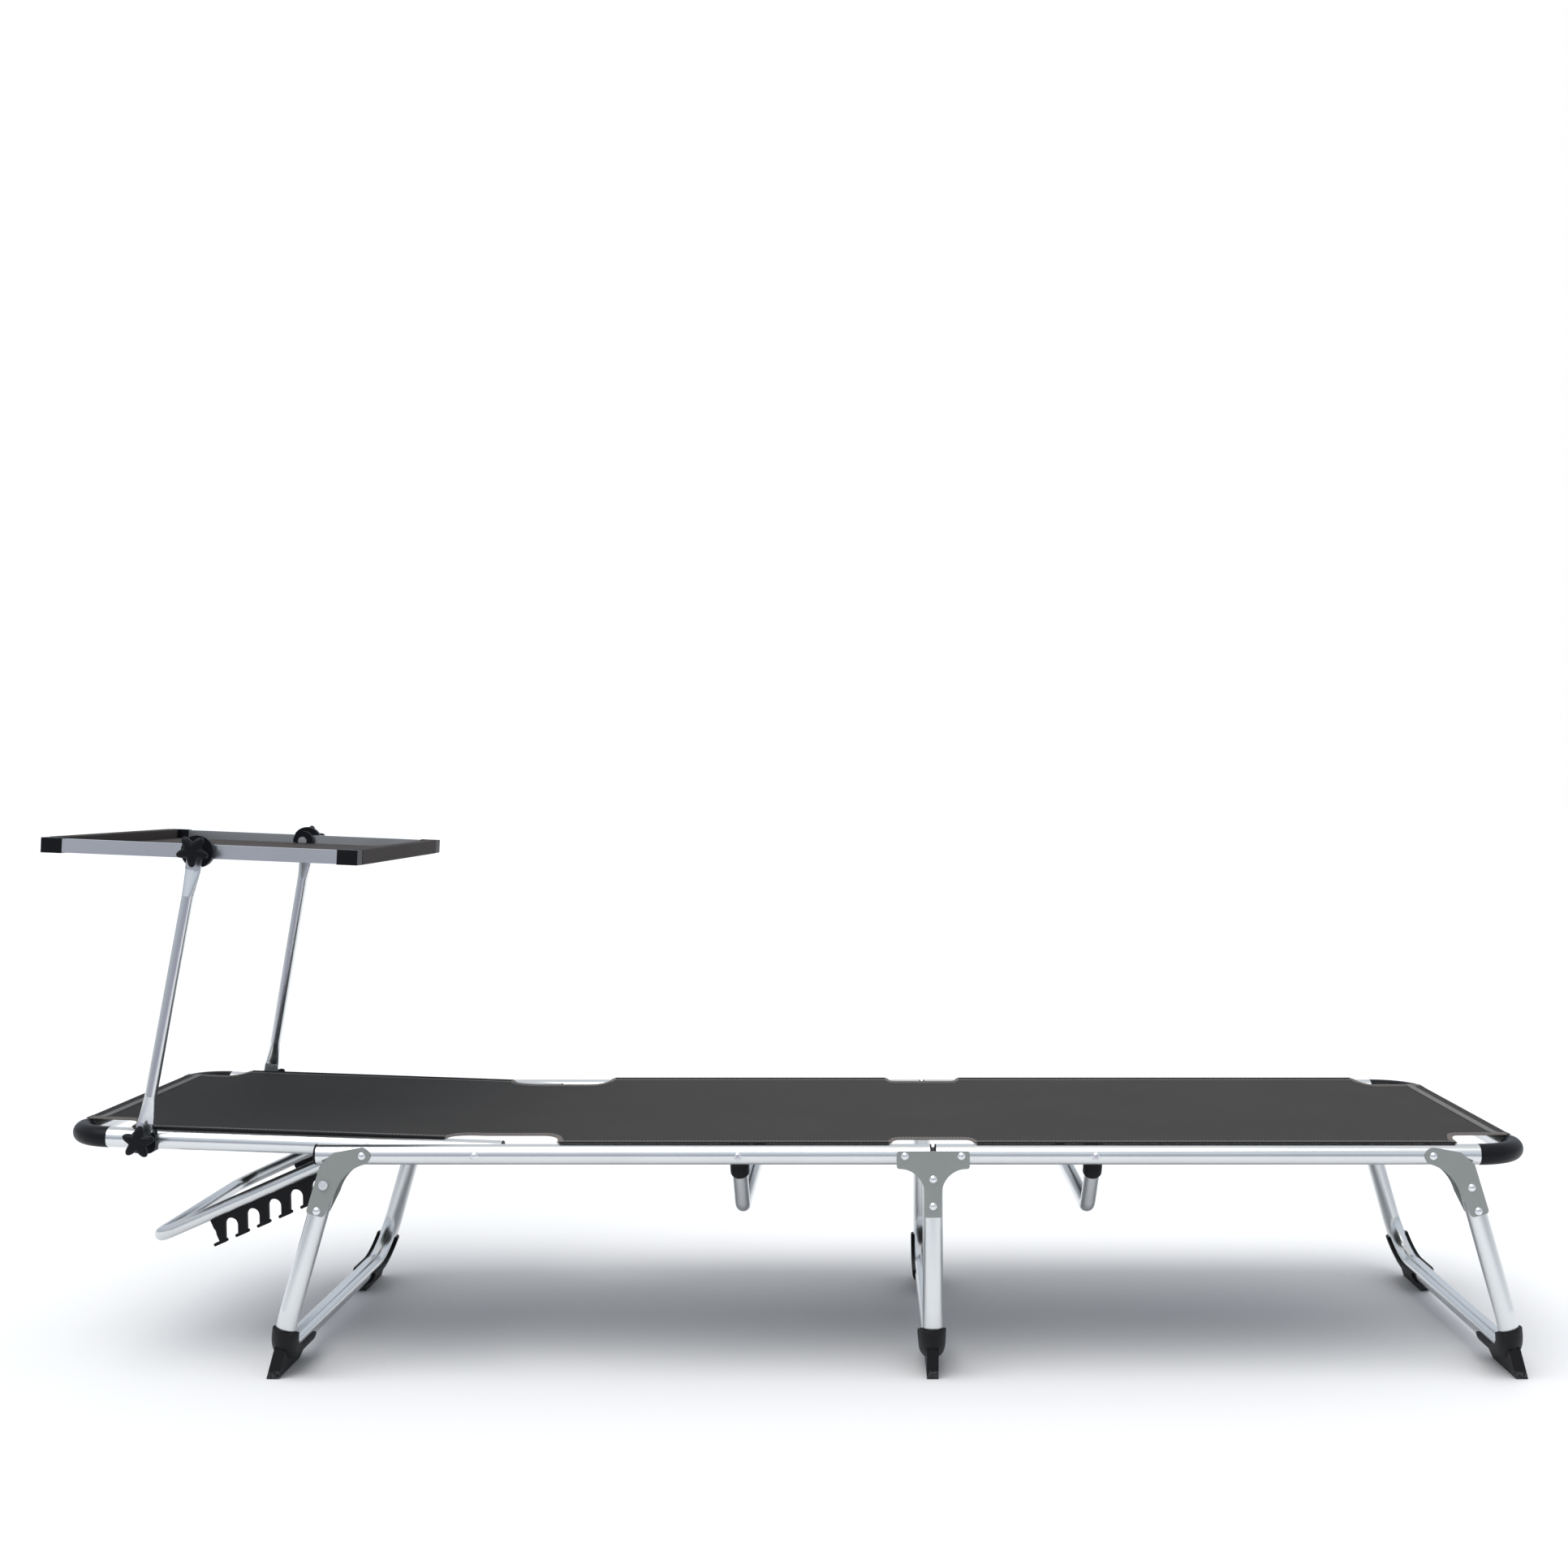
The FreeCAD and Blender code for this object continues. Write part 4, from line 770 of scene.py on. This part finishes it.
bend_over((head_sling, head_binding, head_piping))
bend_over((seat_sling, seat_binding, seat_piping))
bend_over((foot_sling, foot_binding, foot_piping))
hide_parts("sling_backrest")
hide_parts("sling_base")
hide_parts("sling_middle", "sling_foot")
print("sling bends over", round(PIVOT_X, 3), round(MIDDLE_HEAD_X, 3), round(MIDDLE_FOOT_X, 3))

# %% [markdown]
# ### The size that each stretch was cut to
# A taut sheet is as large as the cloth it was cut from. Its length and full width are known,
# and the cut-outs are taken off by adding up narrow strips across.

STRIPS = 400


def flat_area(start, end):
    """The area of the flat cloth from start to end."""
    width = (end - start) / STRIPS
    return sum(2 * half_width(start + (n + 0.5) * width) * width for n in range(STRIPS))


def declare(piece, start, end):
    """Print a stretch's name, the sling's full width and the stretch's length; its flat area is
    worked out but not used.
    """
    end - start
    flat_area(start, end)
    print(piece.name, "flat", round(2 * WIDE, 4), round(end - start, 4))


declare(head_sling, HEAD_END, SPLIT_HEAD)
declare(seat_sling, SPLIT_HEAD, MIDDLE_X)
declare(foot_sling, MIDDLE_X, FOOT_END)

# %% [markdown]
# ## The sunshade's cloth
# The cloth has a sewn sleeve at both ends, which the end bars of the frame slide into, and is
# stretched taut between them. A flat sheet and two tubes would show where they meet. So its
# section along the lounger is drawn as one line: round one end bar, across the frame below the
# tops of the rails, and round the other bar.

# %% The cloth's section
corner_low, corner_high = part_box("canopy_corners")
CANOPY_TILT = math.radians(2.4)
CAP_PROUD = 0.0013            # a corner cap stands this far beyond the end bar
CANOPY_HALF = (corner_high.x - corner_low.x) / 2 / math.cos(CANOPY_TILT) - CAP_PROUD
CANOPY_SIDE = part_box("canopy_side_rails")[1].y
RAIL_HALF = 0.009             # half the height of the sunshade's bars
RAIL_THICK = 0.012
CANOPY_CORNER = 0.0262        # length of a corner cap along each side
SLEEVE_LIFT = 0.0009          # middle of the cloth above the bar it goes round
SLEEVE_ROUND = 0.0016         # radius of the sleeve's bends
SEAM_DROP = 0.0012            # the sleeve's end is sewn on this far below the cloth
PANEL_DROP = 0.0038           # the cloth lies this far below the middle of the bars


def sleeve_section():
    """The sleeve round the end bar at the foot side, from the cloth round and back to it."""
    inner = CANOPY_HALF - RAIL_THICK - SLEEVE_LIFT
    outer = CANOPY_HALF + SLEEVE_LIFT
    top = RAIL_HALF + SLEEVE_LIFT
    corners = [(inner, -PANEL_DROP), (inner, top), (outer, top), (outer, -top), (inner, -top),
               (inner, -PANEL_DROP - SEAM_DROP)]
    points = [corners[0]]
    for before, corner, after in zip(corners, corners[1:], corners[2:]):
        back = (Vector(before) - Vector(corner)).normalized()
        on = (Vector(after) - Vector(corner)).normalized()
        centre = Vector(corner) + (back + on) * SLEEVE_ROUND
        for n in range(5):
            angle = n / 4 * math.pi / 2
            points.append(tuple(centre - on * SLEEVE_ROUND * math.cos(angle)
                                - back * SLEEVE_ROUND * math.sin(angle)))
    points.append(corners[-1])
    return points


sleeve = sleeve_section()
PANEL_ROWS = 60
panel_reach = sleeve[0][0]
across_panel = [(-panel_reach + 2 * panel_reach * n / PANEL_ROWS, -PANEL_DROP)
                for n in range(1, PANEL_ROWS)]
section = [(-x, z) for x, z in reversed(sleeve)] + across_panel + sleeve
lengths = [0.0]
for (x0, z0), (x1, z1) in zip(section, section[1:]):
    lengths.append(lengths[-1] + math.hypot(x1 - x0, z1 - z0))
print("cloth length", round(lengths[-1], 4), "points", len(section))

# %% [markdown]
# ### From the section to the cloth
# The grid helper carries this line across the sunshade, with one row of the grid at each of its
# points. The cloth is narrower in the sleeves, where the corner caps are in its way, and it sags
# a little in the middle. Last of all it is tilted as the sunshade's frame is.

# %% Build the sunshade's cloth
SLEEVE_SIDE = CANOPY_SIDE - CANOPY_CORNER
PANEL_GAP = 0.0008            # between the cloth's side edge and the side rail
PANEL_SIDE = CANOPY_SIDE - RAIL_THICK - PANEL_GAP
PANEL_SAG = 0.004
PANEL_THICK = 0.0009
PANEL_COLUMNS = 40
NARROWING = 0.010             # the cloth narrows over this length before a sleeve


def canopy_point(x, y, z):
    """From the sunshade's own level frame to the row frame, turned about its pivot."""
    c, s = math.cos(CANOPY_TILT), math.sin(CANOPY_TILT)
    return CANOPY_PIVOT.x + x * c + z * s, y, CANOPY_PIVOT.z - x * s + z * c


def canopy_half(x):
    """Half the cloth's width at a distance from the middle."""
    beyond = abs(x) - (CANOPY_HALF - CANOPY_CORNER - NARROWING)
    t = min(max(beyond / NARROWING, 0.0), 1.0)
    return PANEL_SIDE - (PANEL_SIDE - SLEEVE_SIDE) * t


def canopy_place(u, v):
    x, z = section[round(u * (len(section) - 1))]
    half = canopy_half(x)
    y = half * v
    if abs(x) < panel_reach:
        z -= PANEL_SAG * (1 - v * v) * (1 - (x / panel_reach) ** 2)
    return canopy_point(x, y, z)


def canopy_cloth_place(u, v):
    row = round(u * (len(section) - 1))
    return lengths[row], canopy_half(section[row][0]) * v + UV_ASIDE


canopy_cloth = grid_piece("canopy_cloth", len(section) - 1, PANEL_COLUMNS, canopy_place,
                          canopy_cloth_place, thickness=PANEL_THICK)
canopy_cloth.data.materials.append(canopy_cloth_finish)
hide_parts("canopy_fabric")
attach(canopy_cloth, "canopy")
print("canopy cloth", len(canopy_cloth.data.polygons), "faces")

# %% [markdown]
# ## Star knobs
# A hand grips such a knob by its five arms, so they are drawn out of a plump, rounded body
# and have no sharp edge. Five cylinders could be joined to a hub, but their seams would have to
# be smoothed away. A sphere is the natural start: each vertex keeps its direction about the
# axis, and its distance from it is set by a cosine with five peaks in a turn.

# %% Shape the four knobs
ARMS = 5
ARM_REACH = 0.0212            # from the axis to an arm's tip
WAIST_REACH = 0.0118          # and to the hollow between two arms
ARM_SHARPNESS = 1.05
FLANK = 0.55                  # smaller numbers make the arms' flanks steeper
CROWN = 0.75                  # and the two faces flatter
HALF_GRIP = 0.0068            # half the star's thickness
STEM_RADIUS = 0.0112
STEM_GAP = 0.0003             # between the stem and the disc that it turns on
STEM_EDGE = 0.0008


def star_knob(node, turn):
    """A star on a stem in a CAD knob's place, with its first arm at this angle."""
    low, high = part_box(node)
    centre = (low + high) / 2
    side = math.copysign(1, centre.y)
    outer = max(abs(low.y), abs(high.y)) - HALF_GRIP
    inner = min(abs(low.y), abs(high.y)) + STEM_GAP
    deselect_all()
    bpy.ops.mesh.primitive_uv_sphere_add(segments=80, ring_count=28, radius=1)
    star = bpy.context.object
    for vertex in star.data.vertices:
        x, z, axial = vertex.co
        flat = math.hypot(x, z)
        angle = math.atan2(z, x)
        peaks = (0.5 + 0.5 * math.cos(ARMS * (angle - turn))) ** ARM_SHARPNESS
        reach = (WAIST_REACH + (ARM_REACH - WAIST_REACH) * peaks) * flat ** FLANK
        rise = math.copysign(abs(axial) ** CROWN, axial) * HALF_GRIP
        vertex.co = (centre.x + reach * math.cos(angle), side * (outer + rise),
                     centre.z + reach * math.sin(angle))
    bpy.ops.mesh.primitive_cylinder_add(
        vertices=64, radius=STEM_RADIUS, depth=outer - inner,
        location=(centre.x, side * (outer + inner) / 2, centre.z),
        rotation=(math.pi / 2, 0, 0))
    stem = bpy.context.object
    bevel = stem.modifiers.new("soft_edge", "BEVEL")
    bevel.width = STEM_EDGE
    bevel.segments = 3
    apply_modifiers(stem)
    bpy.ops.object.transform_apply(location=True, rotation=True, scale=True)
    star.select_set(True)
    bpy.context.view_layer.objects.active = star
    bpy.ops.object.join()
    star.name = node + "_star"
    bpy.ops.object.mode_set(mode="EDIT")
    bpy.ops.mesh.select_all(action="SELECT")
    bpy.ops.mesh.normals_make_consistent(inside=False)
    bpy.ops.object.mode_set(mode="OBJECT")
    star.data.materials.clear()
    star.data.materials.append(knob_finish)
    smooth(star)
    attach(star, node)
    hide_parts(node)
    return star


for node, turn in (("lower_knob_left", 0.5), ("lower_knob_right", 0.2),
                   ("upper_knob_left", 0.3), ("upper_knob_right", 0.9)):
    print(star_knob(node, turn).name)

# %% [markdown]
# ## The room
# A plain pale floor and a bright, even room. Satin metal only looks like metal if it has
# something to mirror. Dark cards could stand round the lounger, but a ramp in the world's light
# is simpler: it is darker and cooler near the horizon. The floor ends a little way in front of
# the lounger, so that the rails mirror this band. The camera itself sees plain white.

# %% Floor and room light
FLOOR_SIZE = 60
FLOOR_FRONT = 1.5             # the floor's near edge, in front of the lounger's middle
FLOOR_GAP = 0.0005            # under the feet

deselect_all()
bpy.ops.mesh.primitive_plane_add(size=FLOOR_SIZE,
                                 location=(0, FLOOR_SIZE / 2 - FLOOR_FRONT, -FLOOR_GAP))
floor = bpy.context.object
floor.name = "studio_floor"
paint = Finish("studio_floor")
cloud = paint.noise(paint.place(), 0.6)
floor.data.materials.append(paint.finish(
    paint.mixed(cloud, tint(0.86, 0.86, 0.86), tint(0.88, 0.88, 0.88)), 0.75))

world = bpy.data.worlds.new("studio_light")
bpy.context.scene.world = world
world.use_nodes = True
sky = Shading(world.node_tree)
direction = sky.node("ShaderNodeTexCoord", output="Generated")
upward = sky.node("ShaderNodeSeparateXYZ", {}, [direction], output="Z")
level = sky.node("ShaderNodeMapRange", {}, {"Value": upward, "From Min": -1.0})
glow = sky.node("ShaderNodeValToRGB", {"stops": [
    (0.0, tint(0.80, 0.80, 0.82)), (0.39, tint(0.34, 0.31, 0.46)),
    (0.50, tint(0.45, 0.48, 0.51)), (0.62, tint(0.74, 0.80, 0.90)),
    (1.0, tint(0.86, 0.86, 0.86))]}, [level])
camera_ray = sky.node("ShaderNodeLightPath", output="Is Camera Ray")
background = world.node_tree.nodes["Background"]
sky.feed(background.inputs["Color"], sky.mixed(camera_ray, glow, tint(1.05, 1.05, 1.05)))
sky.feed(background.inputs["Strength"], 0.95)
bpy.context.scene.view_settings.view_transform = "Standard"
print("floor and room light ready")

# %% [markdown]
# ## Sun and camera
# Several lamps could light the lounger, but the room does most of that already. One wide, soft
# sun from above adds the faint shadow on the floor. Its share in the metal's gloss is held back,
# where it would bleach the tubes. The camera stands in front of the long side, low, and looks
# level, so that upright lines stay upright.

# %% Sun and camera
lamp = bpy.data.lights.new("soft_sun", "SUN")
lamp.energy = 1.9
lamp.angle = math.radians(50)
lamp.specular_factor = 0.35
sun = bpy.data.objects.new("soft_sun", lamp)
bpy.context.scene.collection.objects.link(sun)
sun.rotation_euler = (math.radians(24), math.radians(-14), 0)

view = bpy.data.cameras.new("catalogue_view")
view.lens = 45.5
view.sensor_width = 36.0
view.shift_x = -0.0549
camera = bpy.data.objects.new("catalogue_view", view)
bpy.context.scene.collection.objects.link(camera)
camera.location = (0.1113, -2.8135, 0.764)
camera.rotation_euler = (math.pi / 2, 0, 0)
bpy.context.scene.camera = camera
print("sun and camera ready")
